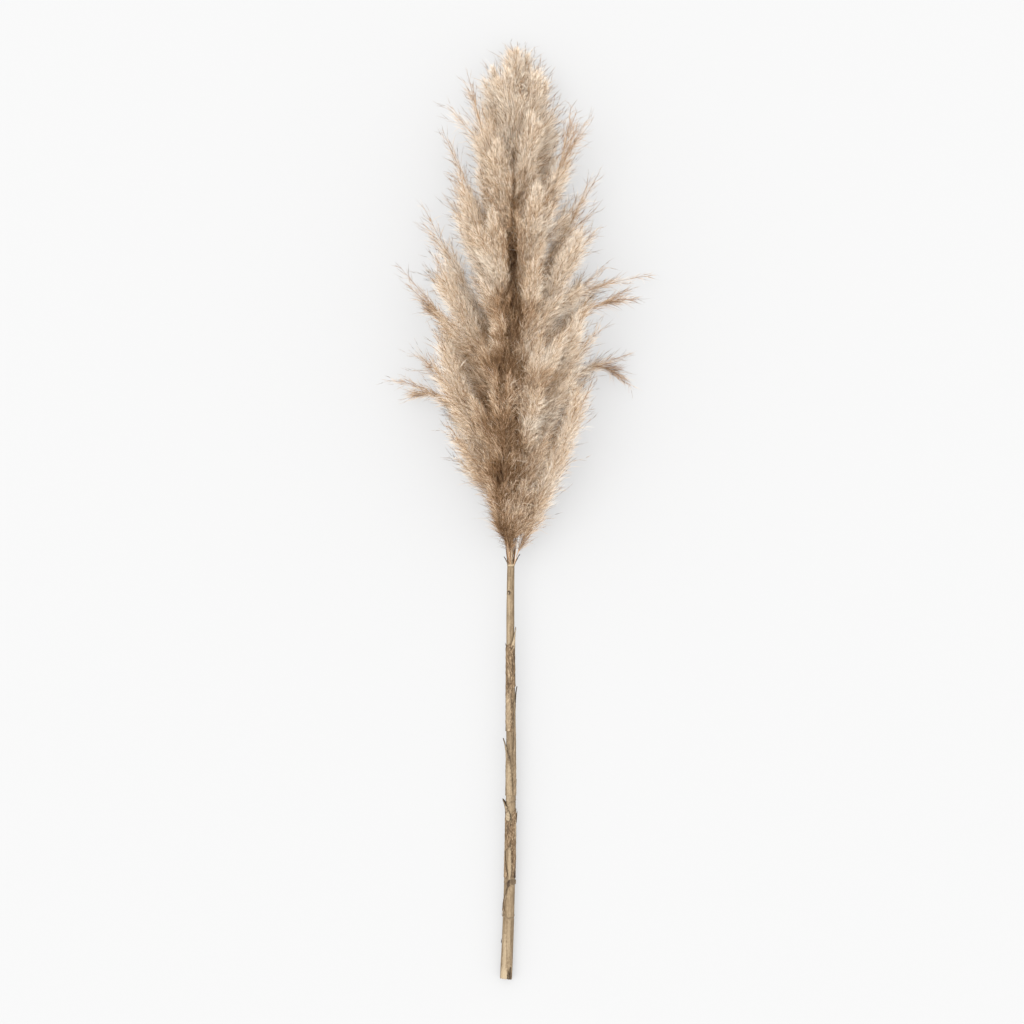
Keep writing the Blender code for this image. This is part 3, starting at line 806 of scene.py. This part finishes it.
def makeStemMaterial(name, look):
    material, nodes, links, shader = newMaterial(name)
    coords = nodes.new("ShaderNodeTexCoord")

    def noise(scale, stretch, detail):
        mapping = nodes.new("ShaderNodeMapping")
        mapping.inputs["Scale"].default_value = (1.0, stretch, 1.0)
        links.new(coords.outputs["Object"], mapping.inputs["Vector"])
        texture = nodes.new("ShaderNodeTexNoise")
        texture.inputs["Scale"].default_value = scale
        texture.inputs["Detail"].default_value = detail
        texture.inputs["Roughness"].default_value = 0.62
        links.new(mapping.outputs["Vector"], texture.inputs["Vector"])
        return texture.outputs["Fac"]

    def mixed(kind, factor, first, second):
        node = nodes.new("ShaderNodeMix")
        node.data_type = kind
        sockets = {"RGBA": (6, 7, 2), "FLOAT": (2, 3, 0)}[kind]
        for socket, value in zip((0, sockets[0], sockets[1]), (factor, first, second)):
            if isinstance(value, (int, float)):
                node.inputs[socket].default_value = value
            elif isinstance(value, tuple):
                node.inputs[socket].default_value = (*value, 1.0)
            else:
                links.new(value, node.inputs[socket])
        return node.outputs[sockets[2]]

    def attribute(attributeName):
        node = nodes.new("ShaderNodeAttribute")
        node.attribute_name = attributeName
        return node.outputs["Fac"]

    def stepped(value, low, high, amount=1.0):
        node = nodes.new("ShaderNodeMapRange")
        node.interpolation_type = "SMOOTHSTEP"
        node.inputs["From Min"].default_value = low
        node.inputs["From Max"].default_value = high
        node.inputs["To Max"].default_value = amount
        links.new(value, node.inputs["Value"])
        return node.outputs["Result"]

    fibre = noise(look["fibreScale"], 0.03, 3.0)
    patch = noise(look["patchScale"], 0.3, 4.0)
    speck = noise(look["speckScale"], look["speckStretch"], 4.0)
    grain = mixed("FLOAT", look["patchShare"], fibre, patch)
    colour = rampColour(nodes, links, grain, look["colours"])
    specks = stepped(speck, look["speckEdge"], look["speckEdge"] + 0.08, look["speckAmount"])
    colour = mixed("RGBA", specks, colour, look["speckColour"])
    flecks = stepped(speck, look["fleckEdge"], look["fleckEdge"] - 0.08, look["fleckAmount"])
    colour = mixed("RGBA", flecks, colour, look["fleckColour"])
    colour = mixed("RGBA", attribute("pale"), colour, look["paleColour"])
    colour = mixed("RGBA", attribute("stain"), colour, look["stainColour"])
    links.new(colour, shader.inputs["Base Color"])
    shader.inputs["Specular IOR Level"].default_value = 0.14
    rough = nodes.new("ShaderNodeMapRange")
    rough.inputs["From Min"].default_value = 0.3
    rough.inputs["From Max"].default_value = 0.7
    rough.inputs["To Min"].default_value = look["roughness"] - 0.1
    rough.inputs["To Max"].default_value = look["roughness"] + 0.12
    links.new(grain, rough.inputs["Value"])
    links.new(rough.outputs["Result"], shader.inputs["Roughness"])
    height = mixed("FLOAT", 0.45, fibre, speck)
    bump = nodes.new("ShaderNodeBump")
    bump.inputs["Strength"].default_value = look["bump"]
    bump.inputs["Distance"].default_value = 0.0006
    links.new(height, bump.inputs["Height"])
    links.new(bump.outputs["Normal"], shader.inputs["Normal"])
    return material


culm = {
    "sides": 96,
    "rowGap": 0.0009,
    "ribDepth": 0.00007,
    "knotShare": 0.55,          # how much of the CAD swelling shows as a narrow ring
    "knotWidth": 0.001,
    "groove": 0.00022,
    # the split in the cut end, pressed in and painted dark as painted shade: strength, place, turn, half
    # length, half width, as in all such marks
    "splits": [(1.0, 0.005, 44.0, 0.01, 0.0017), (1.0, 0.002, 70.0, 0.009, 0.0008),
               (1.0, 0.001, 20.0, 0.0055, 0.001)],
    "held": (0.262, 0.35),
    # the old bud scar near the collar
    "scar": (1.0, 0.4589, 118.0, 0.0026, 0.0024),
    "stains": [(0.9, 0.0448, 176.0, 0.0042, 0.0007), (0.95, 0.116, 97.0, 0.0022, 0.0016),
               (0.8, 0.113, 104.0, 0.0038, 0.0024), (0.5, 0.116, 60.0, 0.0036, 0.005),
               (0.45, 0.116, 14.0, 0.003, 0.003), (0.4, 0.276, 118.0, 0.006, 0.0012),
               (0.4, 0.43, 34.0, 0.04, 0.0006), (0.45, 0.448, 28.0, 0.012, 0.0008),
               (0.3, 0.47, 60.0, 0.01, 0.0005), (0.3, 0.06, 60.0, 0.03, 0.0005)],
    # strength, half width, then places and turns along the stroke
    "strokes": [(1.00, 0.0008, (0.1135, 105.0), (0.1073, 117.0), (0.0985, 138.0), (0.089, 158.0)),
                (0.95, 0.00075, (0.0895, 158.0), (0.078, 163.0)),
                (0.8, 0.0005, (0.0775, 170.0), (0.0755, 128.0), (0.0735, 98.0)),
                (0.4, 0.00045, (0.166, 150.0), (0.1655, 60.0))],
    "pales": [(0.32, 0.02, 118.0, 0.034, 0.0024), (0.42, 0.004, 120.0, 0.012, 0.005),
              (0.16, 0.05, 80.0, 0.03, 0.002), (0.22, 0.135, 92.0, 0.022, 0.0022),
              (0.2, 0.232, 118.0, 0.028, 0.0034), (0.18, 0.43, 118.0, 0.06, 0.0018),
              (0.58, 0.4917, 90.0, 0.0011, 0.03)],
}

culmLook = {
    "colours": [(0.31, (0.062, 0.039, 0.02)), (0.43, (0.12, 0.083, 0.047)),
                (0.54, (0.172, 0.124, 0.074)), (0.68, (0.245, 0.185, 0.118))],
    "fibreScale": 1300.0,
    "patchScale": 210.0,
    "patchShare": 0.45,
    "speckScale": 900.0,
    "speckStretch": 0.34,
    "speckEdge": 0.58,
    "speckAmount": 0.55,
    "speckColour": (0.06, 0.038, 0.02),
    "fleckEdge": 0.42,
    "fleckAmount": 0.5,
    "fleckColour": (0.29, 0.225, 0.145),
    "paleColour": (0.46, 0.37, 0.25),
    "stainColour": (0.022, 0.0125, 0.007),
    "roughness": 0.58,
    "bump": 0.4,
}

isKnot = np.zeros(len(ringPlaces), dtype=bool)
for ringNumber in range(1, len(ringPlaces) - 1):
    rise = ringRadii[ringNumber] - ringRadii[[ringNumber - 1, ringNumber + 1]]
    isKnot[ringNumber] = rise.min() > 0.0001
knots = [float(place - cutPlace) for place in ringPlaces[isKnot]]
plainRings = np.array([min(abs(place - cutPlace - knot) for knot in knots) > 0.0035
                       or place > collarPlace + 0.002 for place in ringPlaces])
collar = knots[-1]
plainPlaces = ringPlaces[plainRings]
plainRadii = ringRadii[plainRings]
below = plainPlaces < collarPlace
plainPlaces = np.concatenate([plainPlaces[below], [collarPlace + 0.0021, collarPlace + 0.0031],
                              plainPlaces[~below]])
plainRadii = np.concatenate([plainRadii[below], [plainRadii[below][-1], plainRadii[~below][0]],
                             plainRadii[~below]])


def smoothRadius(along):
    # the culm's radius without its knots and without the corners of the CAD rings
    shifts = np.linspace(-0.0012, 0.0012, 5)
    return np.mean([np.interp(cutPlace + np.maximum(along + shift, 0.002), plainPlaces, plainRadii)
                    for shift in shifts], axis=0)


def makeCulm(material):
    sides = culm["sides"]
    plain = np.arange(0.0, collar + 0.006, culm["rowGap"])
    rows = np.concatenate([plain, np.linspace(collar + 0.008, rachisEnd - cutPlace, 120)])
    turns = np.linspace(0.0, math.tau, sides, endpoint=False)
    along, turn = np.meshgrid(rows, turns, indexing="ij")
    radius = np.repeat(smoothRadius(rows)[:, None], sides, axis=1)
    radius += culm["ribDepth"] * ripple(along, turn, [0.9, 0.5], 26, 3)
    radius += 0.00012 * ripple(along, turn, [0.05, 0.12], 3, 4)
    stain = np.maximum(allMarks(blot, culm["stains"], along, turn, 20),
                       allMarks(stroke, culm["strokes"], along, turn, 90))
    for knot in knots:
        height = float(culmRadius(cutPlace + knot) - smoothRadius(np.array([knot]))[0])
        wave = knot + 0.0004 * np.sin(2.0 * turn + knot * 90.0)
        if knot == collar:
            wave = collarPlace - cutPlace + 0.0014 + 0.2 * (wave - knot)
        ring = np.exp(-((along - wave) / culm["knotWidth"]) ** 2)
        radius += culm["knotShare"] * height * ring
        line = np.exp(-((along - wave + 0.0022) / 0.0007) ** 2)
        radius -= culm["groove"] * line
        # painted shade: the groove below each knot ring is darkened in the colour as well
        stain = np.maximum(stain, 0.5 * line * (0.6 + 0.4 * np.sin(3.0 * turn + knot * 50.0)))
    split = allMarks(blot, culm["splits"], along, turn, 20)
    radius -= 0.0018 * split
    # painted shade: the split is painted dark all through
    stain = np.maximum(stain, split)
    whole, place, middle, length, width = culm["scar"]
    outside = blot(along, turn, culm["scar"], 33)
    inside = blot(along, turn, (whole, place - 0.0004, middle + 6.0, length * 0.5, width * 0.5), 34)
    radius += 0.00045 * outside - 0.0003 * inside
    stain = np.maximum(stain, 0.92 * outside * (1.0 - inside))
    # the skin is browner and more marked where an old sheath once held it
    heldFrom, heldTo = culm["held"]
    held = ease((along - heldFrom) / 0.03) * (1.0 - ease((along - heldTo) / 0.02))
    mottled = 0.5 + 0.5 * ripple(along, turn, [0.005, 0.0025], 9, 12)
    stain = np.maximum(stain, 0.18 * mottled * held)
    pale = allMarks(blot, culm["pales"], along, turn, 60) * (1.0 - 0.9 * held) * (1.0 - stain)
    # ragged cut end
    ends = 0.0006 * ripple(turn * 0.0, turn, [1.0, 1.0], 13, 8) + 0.0007 * np.cos(turn - 2.4)
    near = np.exp(-along / 0.0035)
    along = along + (ends - 0.0008) * near
    points = stemPoints(along, turn, radius)
    triangles = [gridTriangles(len(rows), sides)]
    for row, inward in ((0, 0.0012), (len(rows) - 1, 0.0)):
        first = row * sides
        middle = points[first:first + sides].mean(axis=0) + np.array([0.0, inward, 0.0])
        triangles.append(fanCap(first, sides, len(points), row > 0))
        points = np.concatenate([points, middle[None]])
    skin = (points, np.concatenate(triangles), np.append(stain.ravel(), [0.25, 0.25]),
            np.append(pale.ravel(), [0.5, 0.5]))
    mesh = stemMesh("stemCulm", [skin] + [tornStub(stub, 40 + n) for n, stub in enumerate(culmStubs)])
    addPiece("stemCulm", mesh, material, "culm")


# fibres that curl away from the old sheath's foot, and a bump at the knot
culmStubs = [
    {"place": 0.1125, "length": 0.006, "turn": 5.0, "width": 0.0032, "lean": 0.0004, "thick": 0.0016,
     "lift": 0.0002, "dark": (0.2, 0.5), "taper": 0.8},
    {"place": 0.0735, "length": 0.004, "turn": 168.0, "width": 0.0009, "lean": 0.0016,
     "dark": (0.4, 0.9), "pale": 0.3},
    {"place": 0.075, "length": 0.003, "turn": 150.0, "width": 0.0008, "lean": 0.0012,
     "dark": (0.6, 0.8), "swing": -30.0},
    {"place": 0.077, "length": 0.0035, "turn": 172.0, "width": 0.001, "lean": 0.0013,
     "dark": (0.1, 0.3), "pale": 0.5},
    {"place": 0.085, "length": 0.005, "turn": 172.0, "width": 0.0009, "lean": 0.0006,
     "dark": (0.8, 0.9)},
    {"place": 0.042, "length": 0.006, "turn": 176.0, "width": 0.0008, "lean": 0.0004,
     "dark": (0.8, 0.8)},
]

culmMaterial = makeStemMaterial("culmSkin", culmLook)
makeCulm(culmMaterial)
print("culm made, knots at", [round(knot, 4) for knot in knots])

# Old leaf sheaths: thin torn shells round the culm, with the stubs of their blades

sheathLook = dict(culmLook)
sheathLook.update({
    "colours": [(0.32, (0.05, 0.03, 0.015)), (0.44, (0.098, 0.062, 0.033)),
                (0.55, (0.155, 0.103, 0.058)), (0.7, (0.24, 0.172, 0.104))],
    "patchScale": 330.0,
    "patchShare": 0.55,
    "speckScale": 1050.0,
    "speckStretch": 0.28,
    "speckEdge": 0.52,
    "speckAmount": 0.85,
    "speckColour": (0.048, 0.028, 0.014),
    "fleckEdge": 0.45,
    "fleckAmount": 0.75,
    "fleckColour": (0.32, 0.24, 0.155),
    "roughness": 0.72,
    "bump": 0.6,
})

greyLook = dict(sheathLook)
greyLook.update({
    "colours": [(0.32, (0.086, 0.058, 0.033)), (0.44, (0.146, 0.103, 0.06)),
                (0.55, (0.2, 0.147, 0.09)), (0.7, (0.28, 0.208, 0.13))],
    "speckAmount": 0.45,
    "fleckAmount": 0.4,
})

paleLook = dict(culmLook)
paleLook.update({
    "speckAmount": 0.7,
    "speckEdge": 0.56,
    "bump": 0.5,
})

# edges: places with the two edges there, in degrees. narrow: shares along, how far the shell
# has narrowed to the torn point and the turn of that point
sheaths = {
    "upper_sheath": {
        "start": 0.294,
        "edges": [(0.294, 74.0, 176.0), (0.346, 66.0, 178.0), (0.355, -150.0, 186.0),
                  (0.42, -150.0, 186.0)],
        "narrow": [(0.8, 0.0, 60.0), (0.836, 0.55, 54.0), (0.85, 0.83, 50.0), (0.92, 0.885, 28.0),
                   (1.00, 0.965, 8.0)],
        "flare": 0.001,
        "stains": [(0.75, 0.384, 40.0, 0.011, 0.001), (0.6, 0.372, 66.0, 0.012, 0.0008),
                   (0.5, 0.35, 120.0, 0.01, 0.0008), (0.5, 0.33, 84.0, 0.014, 0.0007),
                   (0.9, 0.3975, 172.0, 0.0022, 0.0012)],
        "strokes": [(0.95, 0.0007, (0.399, 176.0), (0.3955, 120.0), (0.3925, 74.0), (0.396, 56.0)),
                    (0.8, 0.00045, (0.396, 12.0), (0.406, 6.0), (0.414, 2.0))],
        "pales": [(0.5, 0.401, 44.0, 0.009, 0.0026), (0.5, 0.41, 22.0, 0.009, 0.0026),
                  (0.18, 0.362, 112.0, 0.01, 0.0012), (0.26, 0.316, 128.0, 0.026, 0.0036),
                  (0.16, 0.33, 96.0, 0.018, 0.0016)],
        "stubs": [{"place": 0.3945, "length": 0.005, "turn": 160.0, "width": 0.0014, "lean": 0.001,
                   "dark": (0.6, 0.95), "swing": 18.0},
                  {"place": 0.413, "length": 0.0058, "turn": 8.0, "width": 0.0014, "lean": 0.0003,
                   "dark": (0.3, 1.0), "lift": 0.0012}],
        "look": "sheath",
    },
    "middle_sheath_right": {
        "edges": [(0.218, -62.0, 70.0), (0.3, -62.0, 71.0), (0.348, -62.0, 60.0)],
        "narrow": [(0.84, 0.0, 2.0), (0.88, 0.55, 2.0), (0.94, 0.8, 2.0), (1.00, 0.9, 2.0)],
        "flare": 0.002,
        "stains": [(0.95, 0.34, 4.0, 0.012, 0.003), (0.6, 0.33, 20.0, 0.006, 0.0014),
                   (0.45, 0.27, 30.0, 0.025, 0.0006)],
        "strokes": [(0.6, 0.00045, (0.222, 66.0), (0.275, 66.0)),
                    (0.85, 0.00065, (0.272, 62.0), (0.3, 58.0), (0.34, 52.0))],
        "pales": [(0.3, 0.26, 12.0, 0.035, 0.0012)],
        "stubs": [{"place": 0.328, "length": 0.02, "turn": 8.0, "width": 0.0021, "lean": 0.0016,
                   "thick": 0.0014, "dark": (0.6, 0.9), "swing": -8.0, "taper": 1.8},
                  {"place": 0.23, "length": 0.008, "turn": 4.0, "width": 0.0016, "lean": 0.0006,
                   "dark": (0.2, 0.6)}],
        "look": "grey",
    },
    "middle_sheath_left": {
        "edges": [(0.218, 68.0, 250.0), (0.24, 80.0, 250.0), (0.263, 94.0, 250.0), (0.29, 110.0, 250.0)],
        "narrow": [(0.66, 0.0, 168.0), (0.8, 0.5, 168.0), (0.9, 0.76, 170.0), (1.00, 0.9, 176.0)],
        "flare": 0.0026,
        "stains": [(0.8, 0.2635, 106.0, 0.0024, 0.0012), (0.45, 0.256, 92.0, 0.007, 0.0006)],
        "strokes": [(0.6, 0.00045, (0.224, 72.0), (0.24, 82.0), (0.26, 95.0)),
                    (0.85, 0.0006, (0.26, 104.0), (0.266, 112.0), (0.264, 98.0)),
                    (0.8, 0.0006, (0.266, 118.0), (0.276, 146.0), (0.285, 166.0))],
        "pales": [(0.22, 0.236, 120.0, 0.02, 0.003), (0.18, 0.27, 150.0, 0.01, 0.0016)],
        "stubs": [{"place": 0.269, "length": 0.0175, "turn": 148.0, "width": 0.0056, "lean": 0.0034,
                   "thick": 0.0014, "dark": (0.0, 0.7), "rim": 0.5, "swing": 30.0, "pale": 0.2}],
        "look": "pale",
    },
    "lower_sheath": {
        "edges": [(0.1185, 99.0, 447.0), (0.124, 108.0, 433.0), (0.132, 122.0, 433.0),
                  (0.145, 144.0, 437.0), (0.152, 150.0, 438.0), (0.158, 100.0, 446.0),
                  (0.165, 86.0, 448.0), (0.182, 86.0, 448.0), (0.188, 100.0, 440.0),
                  (0.2, 120.0, 436.0), (0.215, 124.0, 436.0)],
        "narrow": [(0.84, 0.0, 168.0), (0.9, 0.62, 168.0), (1.00, 0.92, 178.0)],
        "flare": 0.003,
        "stains": [(0.9, 0.123, 42.0, 0.008, 0.0012), (0.75, 0.208, 176.0, 0.005, 0.0009),
                   (0.6, 0.121, 20.0, 0.003, 0.004), (0.5, 0.178, 120.0, 0.006, 0.0012)],
        "strokes": [(0.95, 0.0006, (0.151, 152.0), (0.132, 124.0), (0.1185, 100.0)),
                    (0.9, 0.00055, (0.135, 72.0), (0.125, 72.0), (0.118, 86.0)),
                    (0.45, 0.0005, (0.1665, 170.0), (0.1655, 120.0), (0.166, 40.0)),
                    (0.75, 0.0006, (0.2, 122.0), (0.1945, 82.0), (0.186, 74.0))],
        "pales": [(0.3, 0.15, 160.0, 0.016, 0.0016), (0.35, 0.178, 30.0, 0.012, 0.0012)],
        "stubs": [{"place": 0.1985, "length": 0.0155, "turn": 138.0, "width": 0.0056, "lean": 0.0034,
                   "thick": 0.0014, "dark": (0.0, 0.4), "rim": 0.5, "swing": 40.0, "pale": 0.2},
                  {"place": 0.186, "length": 0.014, "turn": 6.0, "width": 0.0022, "lean": 0.0015,
                   "thick": 0.0016, "dark": (0.6, 0.95), "swing": -6.0}],
        "look": "sheath",
    },
    "base_sheath_strip": {
        "edges": [(0.08, 140.0, 186.0), (0.11, 112.0, 130.0)],
        "narrow": [(0.45, 0.0, 112.0), (1.00, 0.84, 108.0)],
        "flare": 0.0003,
        "stains": [(0.6, 0.087, 160.0, 0.005, 0.0012)],
        "strokes": [(1.00, 0.00075, (0.11, 110.0), (0.098, 139.0), (0.086, 158.0))],
        "pales": [(0.25, 0.095, 128.0, 0.012, 0.001)],
        "stubs": [],
        "look": "sheath",
    },
}

sheathBuild = {
    "columns": 48,
    "rowGap": 0.0009,
    "clearance": 0.00016,
    "thickness": 0.0004,
}


def sheathGrid(name, look):
    low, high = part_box(name)
    start, end = look.get("start", low[1] - cutPlace), high[1] - cutPlace
    rows = np.linspace(start, end, int((end - start) / sheathBuild["rowGap"]) + 2)
    share = ((rows - start) / (end - start))[:, None]
    first, last = [np.radians(readCurve(look["edges"], rows, column))[:, None] for column in (1, 2)]
    narrowing = readCurve(look["narrow"], share)
    point = np.radians(readCurve(look["narrow"], share, 2))
    seed = int(1000 * start)
    ragged = 0.07 * ripple(rows[:, None], 0.0, [0.012, 0.004, 0.0017], 0, seed)
    raggedEnd = 0.07 * ripple(rows[:, None], 0.0, [0.014, 0.005, 0.0019], 0, seed + 1)
    across = np.linspace(0.0, 1.0, sheathBuild["columns"])[None, :]
    calm = 1.0 - 0.8 * narrowing
    turns = mix(mix(first, point, narrowing) + ragged * calm,
                mix(last, point, narrowing) + raggedEnd * calm, across)
    along = np.repeat(rows[:, None], sheathBuild["columns"], axis=1)
    # the foot of the sheath is uneven, and its torn tip leans away from the culm
    foot = 0.0012 * ripple(0.0 * turns, turns, [1.0, 1.0], 7, seed + 2)
    along = along + np.abs(foot * np.exp(-(along - start) / 0.004))
    torn = look["narrow"][0][0]
    lean = look["flare"] * np.maximum(0.0, (share - torn) / (1.0 - torn)) ** 2
    uneven = ripple(along, turns, [0.03, 0.011], 5, seed + 3)
    lift = sheathBuild["clearance"] + lean + 0.00018 * (1.0 + uneven)
    edge = np.minimum(across, 1.0 - across)
    lift = lift + 0.00024 * np.exp(-edge / 0.05)
    return rows, along, turns, smoothRadius(rows)[:, None] + lift


def makeSheath(name, look, material):
    rows, along, turns, inner = sheathGrid(name, look)
    columns = sheathBuild["columns"]
    thick = sheathBuild["thickness"] * (1.0 + 0.3 * ripple(along, turns, [0.02, 0.006], 6, 5))
    outer = inner + thick + 0.00006 * ripple(along, turns, [0.9], 30, 6)
    outerPoints = stemPoints(along, turns, outer)
    innerPoints = stemPoints(along, turns, inner)
    # rows run out over the outside and back along the inside, closed round
    ring = np.concatenate([outerPoints.reshape(len(rows), columns, 3),
                           innerPoints.reshape(len(rows), columns, 3)[:, ::-1]], axis=1)
    sides = columns * 2
    triangles = [gridTriangles(len(rows), sides)]
    column = np.arange(columns - 1)
    for row in (0, len(rows) - 1):
        base = row * sides
        a, b = base + column, base + column + 1
        c, d = base + sides - 2 - column, base + sides - 1 - column
        cap = np.concatenate([np.stack([a, b, c], axis=-1), np.stack([a, c, d], axis=-1)])
        triangles.append(cap[:, ::-1] if row else cap)
    stain = np.maximum(allMarks(blot, look["stains"], along, turns, 70),
                       allMarks(stroke, look["strokes"], along, turns, 90))
    edge = np.minimum(np.linspace(0.0, 1.0, columns), np.linspace(1.0, 0.0, columns))[None, :]
    rim = np.exp(-edge * np.abs(turns[:, -1:] - turns[:, :1]) * 0.006 / 0.00045)
    worn = 0.5 + 0.5 * ripple(along, turns, [0.02, 0.007], 4, 9)
    stain = np.maximum(stain, 0.55 * rim * worn)
    pale = allMarks(blot, look["pales"], along, turns, 80) * (1.0 - stain)
    both = [np.concatenate([mask, mask[:, ::-1]], axis=1).ravel() for mask in (stain, pale)]
    solids = [(ring.reshape(-1, 3), np.concatenate(triangles), both[0], both[1])]
    solids += [tornStub(stub, number) for number, stub in enumerate(look["stubs"])]
    addPiece(name + "_shell", stemMesh(name + "_shell", solids), material, name)


sheathMaterials = {
    "sheath": makeStemMaterial("sheathSkin", sheathLook),
    "grey": makeStemMaterial("sheathGrey", greyLook),
    "pale": makeStemMaterial("sheathPale", paleLook),
}
for sheathName, look in sheaths.items():
    makeSheath(sheathName, look, sheathMaterials[look["look"]])
print("sheaths made:", len(sheaths))

# The side bud and the broken twigs at the collar

sideBud = {
    "turn": 116.0,
    "halfWidth": 0.0035,
    "halfThick": 0.0019,
    "lift": 0.0008,
    "rim": 0.85,
}


def makeBud(material):
    low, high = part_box("side_bud")
    share = np.linspace(0.0, 1.0, 40)
    along = mix(low[1] - 0.0008, high[1] + 0.001, share) - cutPlace
    turns = np.full(len(share), math.radians(sideBud["turn"]))
    path = stemPoints(along, turns, smoothRadius(along) + sideBud["lift"])
    outward = outFrom(turns)
    swell = np.maximum(0.03, np.sin(math.pi * np.clip(share, 0.01, 0.985) ** 0.85)) ** 0.62
    points, triangles = rodSolid(path, outward, sideBud["halfWidth"] * swell,
                                 sideBud["halfThick"] * swell, 32)
    angles = np.linspace(0.0, math.tau, 32, endpoint=False)[None, :]
    share = share[:, None]
    edge = np.abs(np.cos(angles)) ** 5 + np.exp(-share / 0.06) + np.exp((share - 1.0) / 0.07)
    scales = 0.3 * np.maximum(0.0, np.sin(share * 24.0 + 2.0 * np.cos(angles)))
    stain = np.clip(sideBud["rim"] * edge + scales * 0.6, 0.0, 0.95).ravel()
    pale = 0.38 * (1.0 - stain)
    solid = (points, triangles, np.append(stain, [0.9, 0.9]), np.append(pale, [0.0, 0.0]))
    addPiece("sideBud", stemMesh("sideBud", [solid]), material, "side_bud")


twigs = {
    # half width at the foot and at the tip, how dark there, how far the tip hooks, length kept
    "broken_twig_1": {"foot": 0.0008, "tip": 0.0004, "dark": (0.45, 0.98), "hook": 0.001, "kept": 0.62},
    "broken_twig_2": {"foot": 0.0007, "tip": 0.0003, "dark": (0.2, 0.6), "hook": -0.0004, "kept": 1.0},
    "broken_twig_3": {"foot": 0.00085, "tip": 0.00045, "dark": (0.35, 0.85), "hook": -0.0006,
                      "kept": 0.95},
}


def makeTwig(name, look, material, seed):
    points = meshPoints(name)
    low, high = points[:, 1].min(), points[:, 1].max()
    places = (points[:, 1] - low) / (high - low)
    share = np.linspace(0.0, 1.0, 26)
    path = np.stack([np.polyval(np.polyfit(places, points[:, axis], 2), share * look["kept"])
                     for axis in range(3)], axis=-1)
    foot = culmLine(path[:1, 1] - 0.003)[0]
    outward = unit((path[0] - foot) * np.array([1.0, 0.0, 1.0]))
    start = foot + outward * 0.0034
    path = path + (start - path[0]) * ((1.0 - share) ** 3)[:, None]
    path[:, 0] -= look["hook"] * share ** 3
    path[:, 0] += 0.00025 * ripple(share, 0.0, [0.5, 0.25], 0, seed)
    uneven = ripple(share, 0.0, [0.4, 0.17], 0, seed + 1)
    radii = mix(look["foot"], look["tip"], share) * (1.0 + 0.22 * uneven)
    radii[-1] *= 0.4
    outwards = np.repeat(outward[None], len(path), axis=0)
    rodPoints, triangles = rodSolid(path, outwards, radii, radii)
    dark, tip = look["dark"]
    stain = np.repeat(mix(dark, tip, share ** 1.5)[:, None], 12, axis=1)
    solid = (rodPoints, triangles, np.append(stain.ravel(), [dark, tip]), np.zeros(len(rodPoints)))
    addPiece(name + "_rod", stemMesh(name + "_rod", [solid]), material, name)


makeBud(sheathMaterials["pale"])
for number, (twigName, look) in enumerate(twigs.items()):
    makeTwig(twigName, look, culmMaterial, 300 + 2 * number)
print("bud and twigs made:", 1 + len(twigs))

# Table, light and camera

stageLook = {
    "floorSize": 6.0,
    "floorColour": (0.2, 0.2, 0.2),
    "floorGlow": 0.4,          # the floor glows by itself, painted light that keeps shadows on it faint
    "worldLight": 2.2,
    "keyLight": 1.75,
    "keySpread": 60.0,
    "keyTurn": (0.0, -20.0, -12.0),
}


def makeFloor():
    mesh = bpy.data.meshes.new("floor")
    size = stageLook["floorSize"]
    mesh.from_pydata([(-size, -size, 0), (size, -size, 0), (size, size, 0), (-size, size, 0)],
                     [], [(0, 1, 2, 3)])
    floor = bpy.data.objects.new("floor", mesh)
    bpy.context.scene.collection.objects.link(floor)
    material, _nodes, _links, shader = newMaterial("paleFloor")
    shader.inputs["Base Color"].default_value = (*stageLook["floorColour"], 1.0)
    shader.inputs["Roughness"].default_value = 0.9
    shader.inputs["Specular IOR Level"].default_value = 0.1
    # painted light: the floor glows so that shadows on it stay faint
    shader.inputs["Emission Color"].default_value = (1.0, 1.0, 1.0, 1.0)
    shader.inputs["Emission Strength"].default_value = stageLook["floorGlow"]
    floor.data.materials.append(material)


def makeKeyLight():
    light = bpy.data.lights.new("keyLight", "SUN")
    light.energy = stageLook["keyLight"]
    light.angle = math.radians(stageLook["keySpread"])
    lamp = bpy.data.objects.new("keyLight", light)
    lamp.location = (-1.5, 0.5, 2.0)
    lamp.rotation_euler = [math.radians(turn) for turn in stageLook["keyTurn"]]
    bpy.context.scene.collection.objects.link(lamp)


def makeWorld():
    world = bpy.data.worlds.new("softRoom")
    world.use_nodes = True
    background = world.node_tree.nodes["Background"]
    background.inputs["Color"].default_value = (1.0, 1.0, 1.0, 1.0)
    background.inputs["Strength"].default_value = stageLook["worldLight"]
    bpy.context.scene.world = world


cameraView = {
    "lens": 85.0,
    "distance": 2.858,
    "along": 0.5542,            # what the middle of the view looks at, from the cut end
    "aside": 0.0006,
    "roll": 0.0118,
}


def makeCamera():
    camera = bpy.data.cameras.new("camera")
    camera.lens = cameraView["lens"]
    camera.sensor_width = 36.0
    camera.clip_end = 20.0
    holder = bpy.data.objects.new("camera", camera)
    middle = culmLine(np.array([cutPlace + cameraView["along"]]))[0]
    holder.location = (middle[0] + cameraView["aside"], middle[1], 0.025 + cameraView["distance"])
    holder.rotation_euler = (0.0, 0.0, cameraView["roll"])
    bpy.context.scene.collection.objects.link(holder)
    bpy.context.scene.camera = holder


makeFloor()
makeWorld()
makeKeyLight()
makeCamera()
bpy.context.scene.view_settings.view_transform = "Standard"
